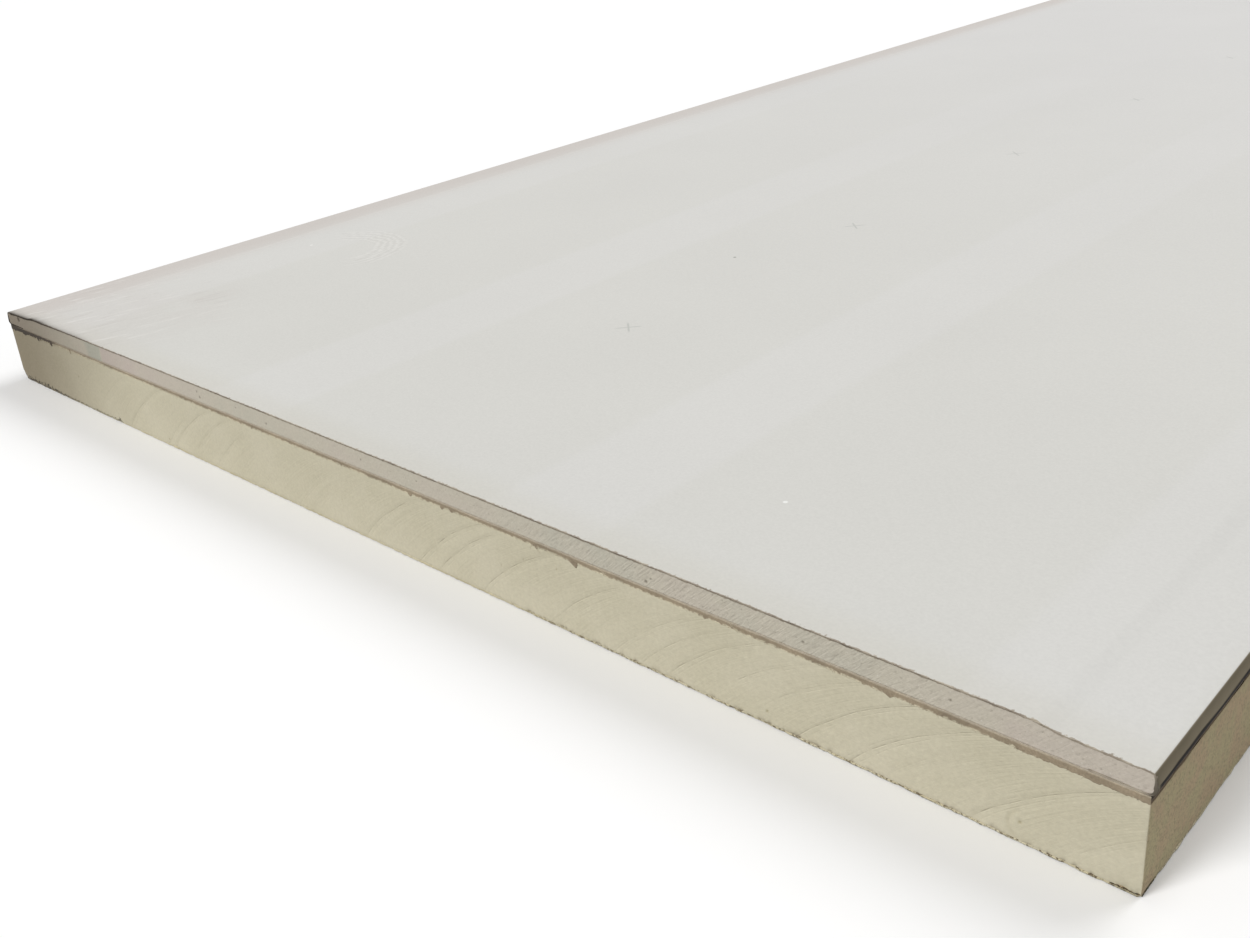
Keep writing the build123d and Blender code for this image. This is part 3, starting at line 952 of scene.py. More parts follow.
def makeFacePaper(material):
    outer, outward = boardOutline(facePaper["pitch"], facePaper["finePitch"])
    inner = (outer - board["paperThickness"] * outward)[::-facePaper["innerStep"]]
    low, high = boxOf("face_paper")
    rowSteps = facePaper["rowFirst"], facePaper["rowGrowth"], facePaper["rowLargest"]
    walk = growingSteps(high[1] - low[1], *rowSteps)
    section = np.concatenate([outer, inner])
    outwards = np.concatenate([outward, outward[::-facePaper["innerStep"]]])
    onOuter = np.concatenate([np.ones(len(outer)), np.zeros(len(inner))])
    up = np.clip(outwards[:, 1], 0, 1)

    y = low[1] + walk[:, None] + 0 * section[:, 0]
    x = section[:, 0] + 0 * y
    z = section[:, 1] - faceDip(x, y) * up

    # the cut edges: torn back unevenly, with a fine burr that stands up, a lip that hangs down and
    # frayed noses
    middleZ, halfHeight, swell, cover = facePaper["fray"]
    fromMiddle = np.abs(section[:, 1] - middleZ)
    sideways = smooth(np.abs(outwards[:, 0]) / 0.3)
    nose = smooth(1 - fromMiddle / halfHeight) * sideways
    for end, seed in ((0, 131), (1, 141)):
        fromEnd = walk[:, None] if end == 0 else walk[-1] - walk[:, None]
        torn = 0.28 + facePaper["ragged"] * layeredNoise(x, x * 0, 2.4, seed)
        torn = torn + 0.3 * layeredNoise(x, x * 0, 11.0, seed + 3)
        burr = 0.45 + 0.55 * layeredNoise(x, x * 0, 3.5, seed + 5)
        hang = 0.25 + 0.9 * layeredNoise(x, x * 0, 2.9, seed + 7)
        if end == 0:
            hang = hang + 1.6 * (1 - smooth((x - facePaper["hangEnd"]) / 16))
            for middle, halfWidth in facePaper["burrs"]:
                near = np.clip(1 - np.abs(x - middle) / halfWidth, 0, 1)
                torn = torn * (1 - near)
                burr = np.maximum(burr, 1.3 * near)
        fade = np.exp(-fromEnd / facePaper["tearRun"])
        atCut = np.exp(-fromEnd / 0.3)
        torn = np.clip(torn, 0.0, 1.2) * (0.35 + 0.65 * smooth(up / 0.5))
        y = y + (1 - 2 * end) * torn * fade
        z = z + facePaper["burr"] * np.clip(burr, 0, 1) * fade * up * onOuter
        z = z - facePaper["hang"] * np.clip(hang, 0, 2) * atCut * up * (1 - onOuter)
        frayed = nose * (0.8 + 0.4 * layeredNoise(x, z, 1.6, seed + 8))
        swelling = swell * frayed * np.exp(-fromEnd / 0.8) * onOuter
        swelling = swelling - cover * frayed * atCut * (1 - onOuter)
        x = x + swelling * outwards[:, 0]
        z = z + swelling * outwards[:, 1]
    x = np.clip(x, low[0], high[0])
    z = np.clip(z, low[2], high[2])

    fromFront = y - low[1]
    cut = np.zeros(z.shape)
    cut[[0, -1]] = 1.0
    cut[[1, -2]] = 0.1
    intoGapShadow = facePaper["gapShadowHeight"] + 0.7 * layeredNoise(y, y * 0, 14.0, 127) - section[:, 1]
    sooty = 1 - 0.5 * smooth((x - facePaper["sootEnd"]) / 14) - 0.5 * smooth((x - facePaper["sootFade"]) / 50)
    sooty = sooty * np.exp(-fromFront / 2.5)
    noseSoot = smooth(1.3 - fromMiddle / facePaper["noseSoot"]) * sideways
    masks = {
        "cut": np.maximum(cut, 1 - onOuter),
        "fold": smooth((0.9 - up) / 0.2) * onOuter + 0 * z,
        # painted shadow: below the gap height the turned-in paper under the nose goes nearly black
        "under": smooth(intoGapShadow / 0.2) * smooth((fromFront - 0.8) / 2) * onOuter,
        "soot": np.maximum(sooty, noseSoot * np.exp(-fromFront / 1.3) * (0.75 + 0.1 * onOuter)),
        "dirt": np.exp(-fromFront / 1.5) * leftDarkeningAt(x, z),
        "back": np.minimum(fromFront, high[1] - y) * mm,
    }

    # loose fibres along the front cut
    draw = np.random.default_rng(23)
    count = facePaper["fibres"]
    rootX = draw.uniform(low[0] + 6, high[0] - 6, count)
    onTop = outward[:, 1] > 0.9
    rootZ = np.interp(rootX, outer[onTop, 0], outer[onTop, 1]) - draw.uniform(0.3, 0.6, count)
    roots = np.stack([rootX, low[1] + draw.uniform(0.25, 0.45, count), rootZ], -1)
    reach = draw.uniform(0.4, 1.3, count)
    lean = np.clip(draw.normal(0, 0.9, count), -1.4, 1.4)
    forward = -draw.uniform(0.1, 0.22, count)
    tips = roots + np.stack([reach * np.sin(lean), forward, -reach * np.cos(lean)], -1)
    bend = np.stack([draw.normal(0, 0.1, count), 0 * rootX, draw.normal(0, 0.1, count)], -1)
    fibres = fibreTubes(roots, tips, bend, draw.uniform(0.03, 0.06, count))
    spots = fibres[0]
    spots[:, 1] = np.maximum(spots[:, 1], low[1] + 0.02)
    spots[:, 2] = np.minimum(spots[:, 2], high[2])
    none = np.zeros(len(spots))
    fibreMasks = {
        "cut": none + 1, "fold": none, "under": none, "back": none,
        "soot": 1 - smooth((spots[:, 0] - facePaper["sootEnd"]) / 40),
        "dirt": leftDarkeningAt(spots[:, 0], spots[:, 2]),
    }
    points = np.stack([x, y, z], -1).reshape(-1, 3)
    arrays = withFibres(points, *slabFaces(*z.shape), masks, fibres, fibreMasks)
    makePiece("bound_face_paper", "face_paper", "face_paper", *arrays, material)


def facePaperMaterial():
    # Ivory face liner: calendered paper, matte and almost even, with faint lengthwise bands from
    # the making, small grey centre marks, scuffs at the front left corner and grey-brown bound edges.
    colours = {
        "ivory": "#d2d1cc", "band": "#d4d3cf", "far": "#d3d2d0", "edge": "#c9c3be", "warm": "#c9c5b8",
        "scuff": "#bdb8b3", "stroke": "#e0deda", "pencil": "#979c97", "fleck": "#f2f2ef", "dot": "#85827a",
        "cut": "#988d7f", "cutPale": "#b4aa99", "fold": "#7e7562", "foldLow": "#9a907c", "under": "#130e0a",
        "soot": "#2a231b",
    }
    bands = {"spacing": 263.0, "first": -378.0, "half": 35.0, "soft": 5.0}
    marks = {"x": 5.0, "first": -977.0, "spacing": 268.0, "reach": 9.0, "line": 1.7}
    scuffs = {"right": -250.0, "back": -1050.0, "soft": 90.0, "size": 4.2, "turn": -15.0, "stretch": 5.5}
    # a wiped mark: fine rings on part of a circle
    wipe = {"centre": (-336.0, -964.0), "inner": 24.0, "outer": 60.0, "spacing": 6.0, "towards": (0.5, 0.87)}
    wanderSize, grainSize, fleckSize, edgePatchSize, cutPatchSize, tearSize = 60.0, 1.6, 75.0, 18.0, 7.0, 1.8
    # slow mottling, fibre clusters and grain: size, detail, darkest and lightest
    shades = ((140.0, 3.0, 0.99, 1.01), (4.0, 3.0, 0.992, 1.008), (grainSize, 2.0, 0.978, 1.022))
    material, tree, place, colours, masks = newMaterial(
        "ivory_face_liner", 0.8, 1.5, colours, ("cut", "fold", "under", "dirt", "soot", "back"),
    )
    tree.nodes["Principled BSDF"].inputs["Specular IOR Level"].default_value = 0.2
    alongX, alongY, alongZ = addNode(tree, "SeparateXYZ", {0: place}).node.outputs

    # lengthwise bands
    bandStep = addNode(tree, "Math", {
        "operation": "MULTIPLY_ADD", 0: alongX, 1: 1 / (bands["spacing"] * mm),
        2: -bands["first"] / bands["spacing"],
    })
    bandAway = addNode(tree, "Math", {"operation": "PINGPONG", 0: bandStep, 1: 0.5})
    inBand = addNode(tree, "MapRange", {
        "interpolation_type": "SMOOTHSTEP", 0: bandAway,
        1: (bands["half"] - bands["soft"]) / bands["spacing"],
        2: (bands["half"] + bands["soft"]) / bands["spacing"], 3: 1.0, 4: 0.0,
    })
    colour = layOver(tree, colours["ivory"], (colours["band"], inBand))

    # slow changes: a little paler along the sheet, duller in the left taper, warmer by the cut
    for tint, along, start, end, first, last in (
        ("far", alongY, -1150.0, 500.0, 0.0, 1.0), ("edge", alongX, -438.0, -385.0, 0.9, 0.0),
        ("warm", alongY, -1197.0, -1172.0, 0.3, 0.0),
    ):
        share = addNode(tree, "MapRange", {
            "interpolation_type": "SMOOTHSTEP", 0: along, 1: start * mm, 2: end * mm, 3: first, 4: last,
        })
        colour = layOver(tree, colour, (colours[tint], share))

    # scuffs at the front left corner: light and dark strokes drawn out along the sheet
    wandering = patchesOf(tree, place, wanderSize, 3.0, (0.0, 1.0), (-60 * mm, 60 * mm))
    near = []
    for along, end in ((alongX, scuffs["right"]), (alongY, scuffs["back"])):
        wandered = addNode(tree, "Math", {"operation": "ADD", 0: along, 1: wandering})
        near.append(addNode(tree, "MapRange", {
            "interpolation_type": "SMOOTHSTEP", 0: wandered, 1: (end - scuffs["soft"]) * mm, 2: end * mm,
            3: 1.0, 4: 0.0,
        }))
    scuffed = addNode(tree, "Math", {"operation": "MULTIPLY", 0: near[0], 1: near[1]})
    colour = layOver(tree, colour, (colours["edge"], scuffed, 0.3))
    strokeTurn = addNode(tree, "Mapping", {
        "vector_type": "TEXTURE", "Vector": place, "Rotation": (0, 0, radians(scuffs["turn"])),
        "Scale": (1.0, scuffs["stretch"], 1.0),
    })
    strokes = addNode(tree, "TexNoise", {
        "Vector": strokeTurn, "Scale": scaleFor(scuffs["size"]), "Detail": 4.0, "Distortion": 0.5,
    })

    # the wiped mark: rings about its centre, within a half turn
    centre = (wipe["centre"][0] * mm, wipe["centre"][1] * mm, 0.0)
    flat = addNode(tree, "CombineXYZ", {0: alongX, 1: alongY})
    fromCentre = addNode(tree, "VectorMath", {"operation": "SUBTRACT", 0: flat, 1: centre})
    away = addNode(tree, "VectorMath", {"operation": "LENGTH", 0: fromCentre}, "Value")
    heading = addNode(tree, "VectorMath", {"operation": "NORMALIZE", 0: fromCentre})
    toward = addNode(
        tree, "VectorMath", {"operation": "DOT_PRODUCT", 0: heading, 1: (*wipe["towards"], 0.0)}, "Value",
    )
    ringScale = 2 * np.pi / (wipe["spacing"] * mm)
    ringTurn = addNode(tree, "Math", {"operation": "MULTIPLY", 0: away, 1: ringScale})
    ringed = addNode(tree, "Math", {"operation": "MULTIPLY_ADD", 0: strokes, 1: 15.0, 2: ringTurn})
    rings = addNode(tree, "Math", {"operation": "SINE", 0: ringed})
    half = (wipe["outer"] - wipe["inner"]) / 2
    offMiddle = addNode(tree, "Math", {"operation": "SUBTRACT", 0: away, 1: (wipe["inner"] + half) * mm})
    offMiddle = addNode(tree, "Math", {"operation": "ABSOLUTE", 0: offMiddle})
    inRings = addNode(tree, "MapRange", {
        "interpolation_type": "SMOOTHSTEP", 0: offMiddle, 1: 0.5 * half * mm, 2: half * mm, 3: 1.0, 4: 0.0,
    })
    inTurn = addNode(tree, "MapRange", {"interpolation_type": "SMOOTHSTEP", 0: toward, 1: -0.2, 2: 0.35})
    wiped = addNode(tree, "Math", {"operation": "MULTIPLY", 0: inRings, 1: inTurn})

    # where each pattern is drawn, its ends and its strength, first its light strokes and then its dark
    ridges = []
    for mask, pattern, tint, low, high, strength in (
        (scuffed, strokes, "stroke", 0.57, 0.72, 0.6), (scuffed, strokes, "scuff", 0.42, 0.3, 0.4),
        (wiped, rings, "stroke", 0.2, 1.0, 0.5), (wiped, rings, "scuff", -0.4, -1.0, 0.22),
    ):
        amount = addNode(tree, "MapRange", {0: pattern, 1: low, 2: high, 4: strength})
        drawn = addNode(tree, "Math", {"operation": "MULTIPLY", 0: mask, 1: amount})
        colour = layOver(tree, colour, (colours[tint], drawn))
        if tint == "stroke":
            ridges.append(drawn)
    ridge = addNode(tree, "Math", {"operation": "ADD", 0: ridges[0], 1: ridges[1]})

    # small grey crosses down the middle of the sheet
    markX = addNode(tree, "Math", {"operation": "SUBTRACT", 0: alongX, 1: marks["x"] * mm})
    markAcross = addNode(tree, "Math", {"operation": "ABSOLUTE", 0: markX})
    markStep = addNode(tree, "Math", {
        "operation": "MULTIPLY_ADD", 0: alongY, 1: 1 / (marks["spacing"] * mm),
        2: -marks["first"] / marks["spacing"],
    })
    markFold = addNode(tree, "Math", {"operation": "PINGPONG", 0: markStep, 1: 0.5})
    markAlong = addNode(tree, "Math", {"operation": "MULTIPLY", 0: markFold, 1: marks["spacing"] * mm})
    offLine = addNode(tree, "Math", {"operation": "SUBTRACT", 0: markAcross, 1: markAlong})
    offLine = addNode(tree, "Math", {"operation": "ABSOLUTE", 0: offLine})
    farOut = addNode(tree, "Math", {"operation": "ADD", 0: markAcross, 1: markAlong})
    onLine = addNode(tree, "MapRange", {
        "interpolation_type": "SMOOTHSTEP", 0: offLine, 2: marks["line"] * mm, 3: 0.42, 4: 0.0,
    })
    inReach = addNode(
        tree, "MapRange", {0: farOut, 1: marks["reach"] * mm, 2: 1.6 * marks["reach"] * mm, 3: 1.0, 4: 0.0},
    )
    pencilled = addNode(tree, "Math", {"operation": "MULTIPLY", 0: onLine, 1: inReach})
    colour = layOver(tree, colour, (colours["pencil"], pencilled))

    # a few white flecks and dark dots
    cells = addNode(tree, "TexVoronoi", {"Vector": place, "Scale": scaleFor(fleckSize)}).node.outputs
    spot = addNode(tree, "MapRange", {0: cells["Distance"], 1: 0.012, 2: 0.02, 3: 0.8, 4: 0.0})
    chance = addNode(tree, "SeparateColor", {0: cells["Color"]})
    isDot = addNode(tree, "Math", {"operation": "GREATER_THAN", 0: chance, 1: 0.55})
    spotColour = layOver(tree, colours["fleck"], (colours["dot"], isDot))
    colour = layOver(tree, colour, (spotColour, spot))
    for size, detail, darkest, lightest in shades:
        grain = addNode(tree, "TexNoise", {"Vector": place, "Scale": scaleFor(size), "Detail": detail})
        colour = shadeBy(tree, colour, grain, (0.3, 0.7), (darkest, lightest))

    # bound edges: darker just below the face and paler lower down, and painted black-brown where the paper
    # turns in underneath, as painted shadow in the gap above the foam
    patchy = patchesOf(tree, place, edgePatchSize, 4.0, (0.0, 1.0), (-0.45, 0.45))
    heightShare = addNode(tree, "MapRange", {0: alongZ, 1: 54.5 * mm, 2: 48.5 * mm})
    lowShare = addNode(tree, "Math", {"operation": "ADD", "use_clamp": True, 0: heightShare, 1: patchy})
    edgeColour = layOver(tree, colours["fold"], (colours["foldLow"], lowShare))
    cutPatch = patchesOf(tree, place, cutPatchSize, 3.0, (0.4, 0.6))
    cutColour = layOver(tree, colours["cut"], (colours["cutPale"], cutPatch))
    # the torn ply shows a little way back over the face, as far as noise lets it
    tornBack = patchesOf(tree, place, tearSize, 3.0, (0.4, 0.7), (0.0, 2.0 * mm), 0.6)
    inTear = addNode(tree, "Math", {"operation": "SUBTRACT", 0: tornBack, 1: masks["back"]})
    tornShare = addNode(tree, "MapRange", {0: inTear, 2: 0.3 * mm, 4: 0.9})
    cutShown = addNode(tree, "Math", {"operation": "MAXIMUM", 0: tornShare, 1: masks["cut"]})
    colour = layOver(tree, colour, (edgeColour, masks["fold"]), (cutColour, cutShown))
    colour = darkenLeftEnd(tree, colour, masks["dirt"])
    # painted shadow in the gap under the nose, then the soot along the cut
    colour = layOver(tree, colour, (colours["under"], masks["under"]), (colours["soot"], masks["soot"]))
    fine = addNode(tree, "TexNoise", {"Vector": place, "Scale": scaleFor(grainSize), "Detail": 3.0})
    normal = addNode(tree, "Bump", {"Strength": 0.25, "Distance": 0.05 * mm, "Height": fine})
    normal = addNode(tree, "Bump", {"Strength": 0.5, "Distance": 0.3 * mm, "Height": ridge, "Normal": normal})
    return finishMaterial(material, colour, normal)


# Gypsum core

gypsum = {
    "columnFirst": 0.12,
    "columnGrowth": 1.25,
    "columnPitch": 0.6,
    "rowPitch": 0.5,
    "clearance": 0.02,       # under the paper
    "recess": 0.42,          # the sawn face behind the nominal end
    "shallowest": 0.25,      # no part of the sawn face comes nearer to the end than this
    "fibresAndShade": 0.5,             # how far paper fibres, together with painted shade under the paper's lip, reach down over the sawn face
    "scoreAngle": 45.0,
    "scoreStretch": 7.0,
    "scorePitch": 2.2,
    "poreDepth": 0.4,
    # where the blade has scored it, from faint to strong, and how open its pores are
    "scored": [
        (-450, 0.25), (-300, 0.2), (-240, 0.1), (60, 0.2), (170, 0.8), (215, 1.0), (330, 1.0), (380, 0.5),
        (450, 0.4),
    ],
    "pored": [(-450, 0.1), (-100, 0.2), (100, 0.5), (300, 0.65), (450, 0.5)],
    "pores": (2.2, 0.13, 0.35, 0.65),    # cell, share of the cells and radii
    "gouge": (-430.5, 52.0, 1.6),        # place and radius of the deep hole at the left, painted nearly black as the shadow inside it
    "gougeDepth": 1.6,
    # single pocks: place and radius
    "pocks": [
        (-167, 52.4, 0.7), (-164.5, 49.0, 0.9), (-121, 52.2, 0.5), (-88, 49.5, 0.7), (7, 51.4, 0.6),
        (56, 52, 0.5), (219, 48.2, 0.9), (222, 50.6, 0.6), (305, 50, 0.7), (372, 51, 0.6),
    ],
    # pinkish (1) and greenish (-1) stretches across the sheet
    "tints": [
        (-450, 0.1), (-322, 0.0), (-314, -1.3), (-300, -1.3), (-294, 1.0), (-262, 0.8), (-200, 0.4),
        (-150, 0.1), (-130, -0.1), (-70, -0.1), (-30, 0.1), (30, 0.1), (90, 0.0), (140, -0.2),
        (196, -0.2), (250, 0.1),
        (290, 0.0), (330, -0.1), (370, 0.2), (410, 0.4), (450, 0.4),
    ],
}


def sawnGypsum(across, z, seed):
    # depth of the blade's scores and of the broken grain, and the open pores, each stronger in its
    # own stretches
    turn = radians(gypsum["scoreAngle"])
    through = across * np.sin(turn) - z * np.cos(turn)
    scores = layeredNoise(through, z * 0.3, gypsum["scorePitch"], seed)
    depth = 0.1 * valueAt(gypsum["scored"], across) * scores
    depth = depth + 0.09 * layeredNoise(across, z, 5.0, seed + 3)
    depth = depth + 0.05 * latticeNoise(across / 0.9, z / 0.9, seed + 6)
    pores = scatteredDots(across, z, *gypsum["pores"], seed + 9)
    return depth, pores * valueAt(gypsum["pored"], across)


def makeGypsum(material):
    # Each end is a grid: columns across the sheet, rows from the core's underside to its top. The
    # grids' rims are joined by bands along the sheet, which lie under the paper.
    outer, outward = boardOutline(0.5, 0.2)
    inner = outer - (board["paperThickness"] + gypsum["clearance"]) * outward
    widest = inner[:, 0].argmax()
    narrowest = inner[:, 0].argmin()
    limit = inner[widest, 0] - 0.06
    columnSteps = gypsum["columnFirst"], gypsum["columnGrowth"], gypsum["columnPitch"]
    x = growingSteps(2 * limit, *columnSteps) - limit
    face = slice(narrowest, widest + 1)
    top = np.interp(x, *inner[face].T)
    rightUnder = np.interp(x, *inner[widest:][::-1].T)
    leftUnder = np.interp(x, *inner[:narrowest + 1][::-1].T)
    low, high = boxOf("gypsum_core")
    lap = high[0] + board["paperThickness"] - board["foldLap"]
    under = np.where(x > 0, rightUnder, leftUnder)
    under = np.where(np.abs(x) < lap, low[2] + gypsum["clearance"], under)
    steep = np.interp(x, outer[face, 0], np.clip(outward[face, 1], 0, 1))
    share = np.linspace(0, 1, int((high[2] - low[2]) / gypsum["rowPitch"]) + 1)[:, None]
    z, rearZ = (under + share * (top - faceDip(x, end) * steep - under) for end in (low[1], high[1]))
    x = x + 0 * z

    frontDepth, frontPores = sawnGypsum(x, z, 151)
    rearDepth, rearPores = sawnGypsum(-x, rearZ, 171)
    for pockX, pockZ, radius in gypsum["pocks"]:
        frontPores = np.maximum(frontPores, np.clip(1.3 - np.hypot(x - pockX, z - pockZ) / radius, 0, 1))
    gougeX, gougeZ, gougeRadius = gypsum["gouge"]
    gouge = smooth(1.2 - np.hypot(x - gougeX, (z - gougeZ) * 0.7) / gougeRadius)
    frontDepth = frontDepth + gypsum["poreDepth"] * frontPores + gypsum["gougeDepth"] * gouge
    rearDepth = rearDepth + gypsum["poreDepth"] * rearPores
    frontY = low[1] + np.maximum(gypsum["recess"] + frontDepth, gypsum["shallowest"])
    rearY = high[1] - np.maximum(gypsum["recess"] + rearDepth, gypsum["shallowest"])

    rows, columns = z.shape
    row, column = np.meshgrid(np.arange(rows - 1), np.arange(columns - 1), indexing="ij")
    here = row * columns + column
    frontQuads = np.stack([here, here + 1, here + 1 + columns, here + columns], -1).reshape(-1, 4)
    # rim of the grid, anticlockwise seen from the front
    rim = np.concatenate([
        np.arange(columns), np.arange(1, rows) * columns + columns - 1,
        (rows - 1) * columns + np.arange(columns - 2, -1, -1), np.arange(rows - 2, 0, -1) * columns,
    ])
    bands = [rim]
    points = [np.stack([x, frontY, z], -1).reshape(-1, 3), np.stack([x, rearY, rearZ], -1).reshape(-1, 3)]
    extra = 2 * rows * columns
    for along in (0.004, 0.5, 0.996):
        level = points[0][rim].copy()
        level[:, 1] = low[1] + along * (high[1] - low[1])
        points.append(level)
        bands.append(extra + np.arange(len(rim)))
        extra += len(rim)
    bands.append(rim + rows * columns)
    quads = [frontQuads, frontQuads[:, ::-1] + rows * columns]
    for near, far in zip(bands, bands[1:]):
        quads.append(np.stack([near, far, np.roll(far, -1), np.roll(near, -1)], -1))
    points = np.concatenate(points)

    drift = 3.5 * layeredNoise(x, z, 7.0, 185)
    tint = valueAt(gypsum["tints"], x + drift) + 0.35 * layeredNoise(x, z, 16.0, 181)
    below = (1 - share) * (z[-1] - z[0]) * mm
    # each mask's values at the front and the rear; the bands between them are hidden
    ends = {
        "pore": (frontPores, rearPores), "gouge": (gouge, 0 * z), "tint": (tint, -tint),
        "scored": (valueAt(gypsum["scored"], x), 0.5 + 0 * z), "dirt": (leftDarkeningAt(x, z), 0 * z),
        "below": (below, below),
    }
    hidden = np.zeros(len(points) - 2 * z.size)
    masks = {
        name: np.concatenate([front.ravel(), rear.ravel(), hidden]) for name, (front, rear) in ends.items()
    }
    makePiece("sawn_gypsum", "gypsum_core", "gypsum", points, np.concatenate(quads), [], masks, material)


def gypsumMaterial():
    # Set gypsum plaster, sawn: a chalky pale grey that turns faintly pinkish or greenish in
    # stretches, with fine grey pores, white grains and the slanting scores of the blade.
    colours = {
        "grey": "#d3ccbc", "pink": "#d1c5bb", "green": "#c4c3b5", "pore": "#7d7467", "grain": "#efebe2",
        "gouge": "#2c251d", "fibresAndShade": "#a39888",
    }
    grainSize, grainCell, poreCell, scoreSize, smearSize = 1.0, 2.4, 1.8, 1.0, 2.4
    material, tree, place, colours, masks = newMaterial(
        "sawn_gypsum_plaster", 0.95, 1.52, colours, ("pore", "gouge", "tint", "scored", "dirt", "below"),
    )
    pinker = addNode(tree, "MapRange", {0: masks["tint"], 1: 0.0, 2: 1.0})
    greener = addNode(tree, "MapRange", {0: masks["tint"], 1: 0.0, 2: -1.0})
    colour = layOver(tree, colours["grey"], (colours["pink"], pinker), (colours["green"], greener))
    for cell, tint, inner, outer, share in (
        (grainCell, "grain", 0.05, 0.14, 0.5), (poreCell, "pore", 0.04, 0.14, 0.4),
    ):
        dots = addNode(tree, "TexVoronoi", {"Vector": place, "Scale": scaleFor(cell)}, "Distance")
        dotMask = addNode(tree, "MapRange", {0: dots, 1: inner, 2: outer, 3: share, 4: 0.0})
        colour = layOver(tree, colour, (colours[tint], dotMask))
    # the deep hole gets painted shadow: a nearly black colour
    colour = layOver(tree, colour, (colours["pore"], masks["pore"], 0.9), (colours["gouge"], masks["gouge"]))
    # the scores climb to the right, so the pattern is turned by their angle and drawn out along them
    turned = addNode(tree, "Mapping", {
        "vector_type": "TEXTURE", "Vector": place, "Rotation": (0, -radians(gypsum["scoreAngle"]), 0),
        "Scale": (gypsum["scoreStretch"], 1.0, 1.0),
    })
    scores = addNode(tree, "TexNoise", {"Vector": turned, "Scale": scaleFor(scoreSize), "Detail": 2.0})
    darker = addNode(tree, "MapRange", {0: scores, 1: 0.58, 2: 0.72, 4: 0.22})
    # paper fibres smeared down from the cut, together with painted shade under the paper's lip: their reach
    # is broken by noise
    reach = patchesOf(tree, place, smearSize, 3.0, (0.3, 0.75), (0.0, gypsum["fibresAndShade"] * 2 * mm))
    inside = addNode(tree, "Math", {"operation": "SUBTRACT", 0: reach, 1: masks["below"]})
    fibresAndShadeShare = addNode(tree, "MapRange", {0: inside, 2: 0.15 * mm, 4: 0.85})
    colour = layOver(tree, colour, (colours["pore"], darker, masks["scored"]), (colours["fibresAndShade"], fibresAndShadeShare))
    colour = darkenLeftEnd(tree, colour, masks["dirt"])
    chalk = addNode(
        tree, "TexNoise", {"Vector": place, "Scale": scaleFor(grainSize), "Detail": 4.0, "Roughness": 0.6},
    )
    colour = shadeBy(tree, colour, chalk, (0.3, 0.7), (0.93, 1.05))
    normal = addNode(tree, "Bump", {"Strength": 0.6, "Distance": 0.13 * mm, "Height": chalk})
    normal = addNode(tree, "Bump", {
        "Strength": masks["scored"], "Distance": 0.4 * mm, "invert": True, "Height": scores, "Normal": normal,
    })
    return finishMaterial(material, colour, normal)


makeFoam(foamMaterial())
makeUpperFacer(facerMaterial())
makeLowerFacer(lowerFacerMaterial())
makeBackPaper(backPaperMaterial())
makeFacePaper(facePaperMaterial())
makeGypsum(gypsumMaterial())

# Floor, light and camera

studio = {
    "floorSize": 60.0,       # metres
    "floorDrop": 0.2,
    "floorSeen": "#fdfdfd",
    "floorBounce": "#94928c",
    "skyLight": 0.36,
    # each lamp: strength, where its light comes from, and how wide it looks from the sheet
    "lamps": {
        "key_light": (1.8, (-0.25, -0.72, 0.65), 20.0),
        "back_light": (1.2, (0.12, 0.62, 0.77), 35.0),
    },
    "cameraPlace": (571.7, -1560.6, 353.8),
    "heading": 44.63,        # anticlockwise from +Y
    "lookDown": 23.48,
    "roll": -4.87,
    "lens": 37.48,
    "sensor": 36.0,
    "shiftUp": -0.05,
    "seesTo": 100.0,         # metres
}


def seenDirectly(tree):
    # 1 for camera, glossy and transmission rays, and 0 for the rays that only carry light
    path = addNode(tree, "LightPath").node.outputs
    camera, glossy, through = path["Is Camera Ray"], path["Is Glossy Ray"], path["Is Transmission Ray"]
    either = addNode(tree, "Math", {"operation": "MAXIMUM", 0: camera, 1: glossy})
    return addNode(tree, "Math", {"operation": "MAXIMUM", 0: either, 1: through})


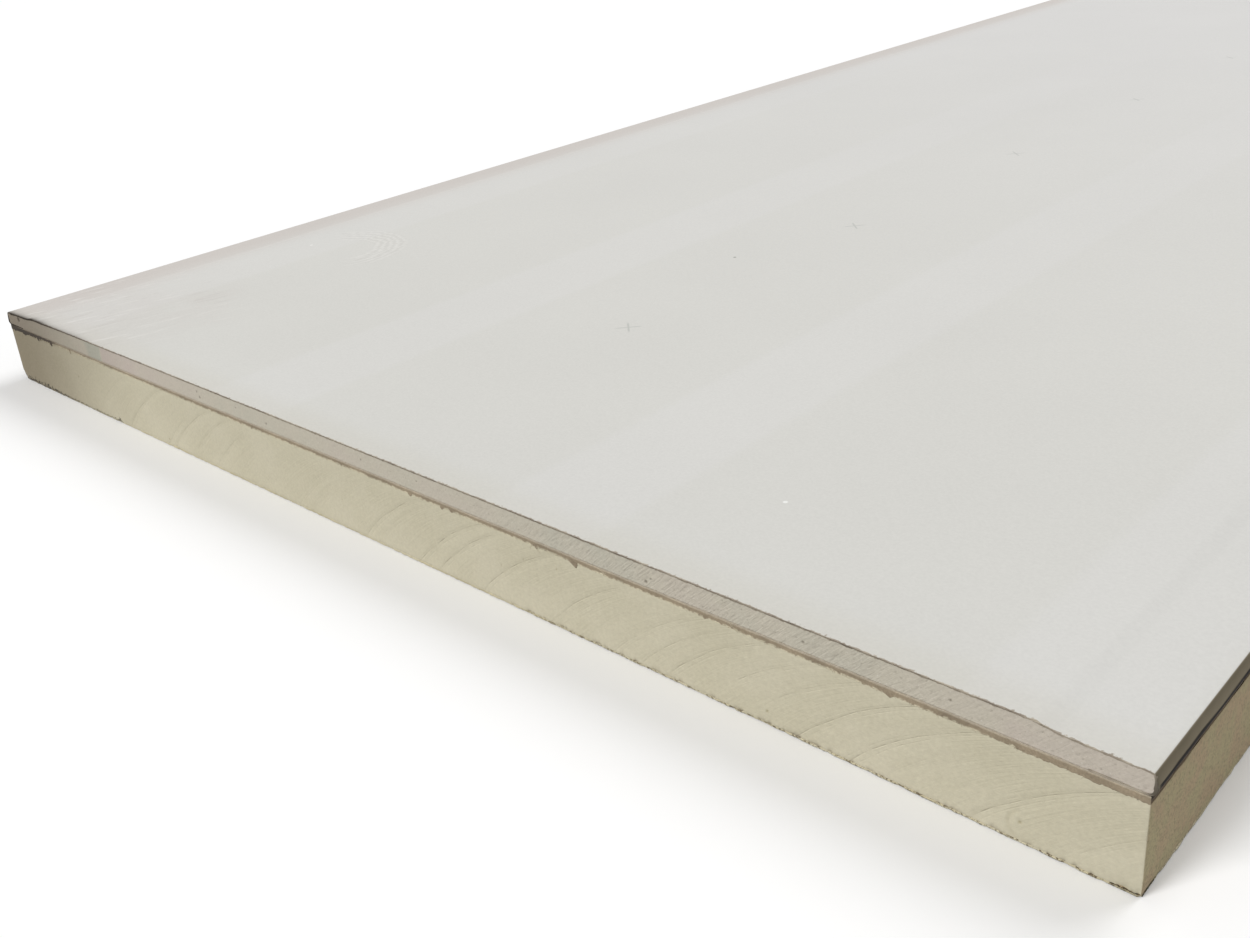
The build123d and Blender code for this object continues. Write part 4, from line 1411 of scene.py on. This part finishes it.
def makeFloor():
    # a flat square just under the sheet; white where it is seen, greyer where it only throws light
    half = studio["floorSize"] / 2
    level = -studio["floorDrop"] * mm
    mesh = bpy.data.meshes.new("studio_floor")
    corners = [(-half, -half, level), (half, -half, level), (half, half, level), (-half, half, level)]
    mesh.from_pydata(corners, [], [(0, 1, 2, 3)])
    material = bpy.data.materials.new("matte_floor")
    material.use_nodes = True
    tree = material.node_tree
    tree.nodes.clear()
    colour = layOver(
        tree, hexColour(studio["floorBounce"]), (hexColour(studio["floorSeen"]), seenDirectly(tree)),
    )
    diffuse = addNode(tree, "BsdfDiffuse", {"Color": colour})
    output = tree.nodes.new("ShaderNodeOutputMaterial")
    tree.links.new(diffuse, output.inputs["Surface"])
    mesh.materials.append(material)
    floor = bpy.data.objects.new("studio_floor", mesh)
    bpy.context.scene.collection.objects.link(floor)


def makeLight():
    world = bpy.data.worlds.new("studio_sky")
    bpy.context.scene.world = world
    world.use_nodes = True
    tree = world.node_tree
    tree.nodes.clear()
    white = hexColour("#ffffff")
    lighting = addNode(tree, "Background", {"Color": white, "Strength": studio["skyLight"]})
    backdrop = addNode(tree, "Background", {"Color": white, "Strength": 1.0})
    mixed = addNode(tree, "MixShader", {0: seenDirectly(tree), 1: lighting, 2: backdrop})
    output = tree.nodes.new("ShaderNodeOutputWorld")
    tree.links.new(mixed, output.inputs["Surface"])
    for name, (strength, fromSide, width) in studio["lamps"].items():
        lamp = bpy.data.lights.new(name, "SUN")
        lamp.energy = strength
        lamp.angle = radians(width)
        stand = bpy.data.objects.new(name, lamp)
        stand.rotation_mode = "QUATERNION"
        stand.rotation_quaternion = Vector(fromSide).to_track_quat("Z", "Y")
        bpy.context.scene.collection.objects.link(stand)


def makeCamera():
    lens = bpy.data.cameras.new("camera")
    lens.sensor_width = studio["sensor"]
    lens.lens = studio["lens"]
    lens.shift_y = studio["shiftUp"]
    lens.clip_end = studio["seesTo"]
    camera = bpy.data.objects.new("camera", lens)
    camera.matrix_world = (
        Matrix.Translation(Vector(studio["cameraPlace"]) * mm)
        @ Matrix.Rotation(radians(studio["heading"]), 4, "Z")
        @ Matrix.Rotation(radians(90 - studio["lookDown"]), 4, "X")
        @ Matrix.Rotation(radians(studio["roll"]), 4, "Z")
    )
    bpy.context.scene.collection.objects.link(camera)
    bpy.context.scene.camera = camera


makeFloor()
makeLight()
makeCamera()
bpy.context.scene.view_settings.view_transform = "Standard"
print("floor, light and camera set")
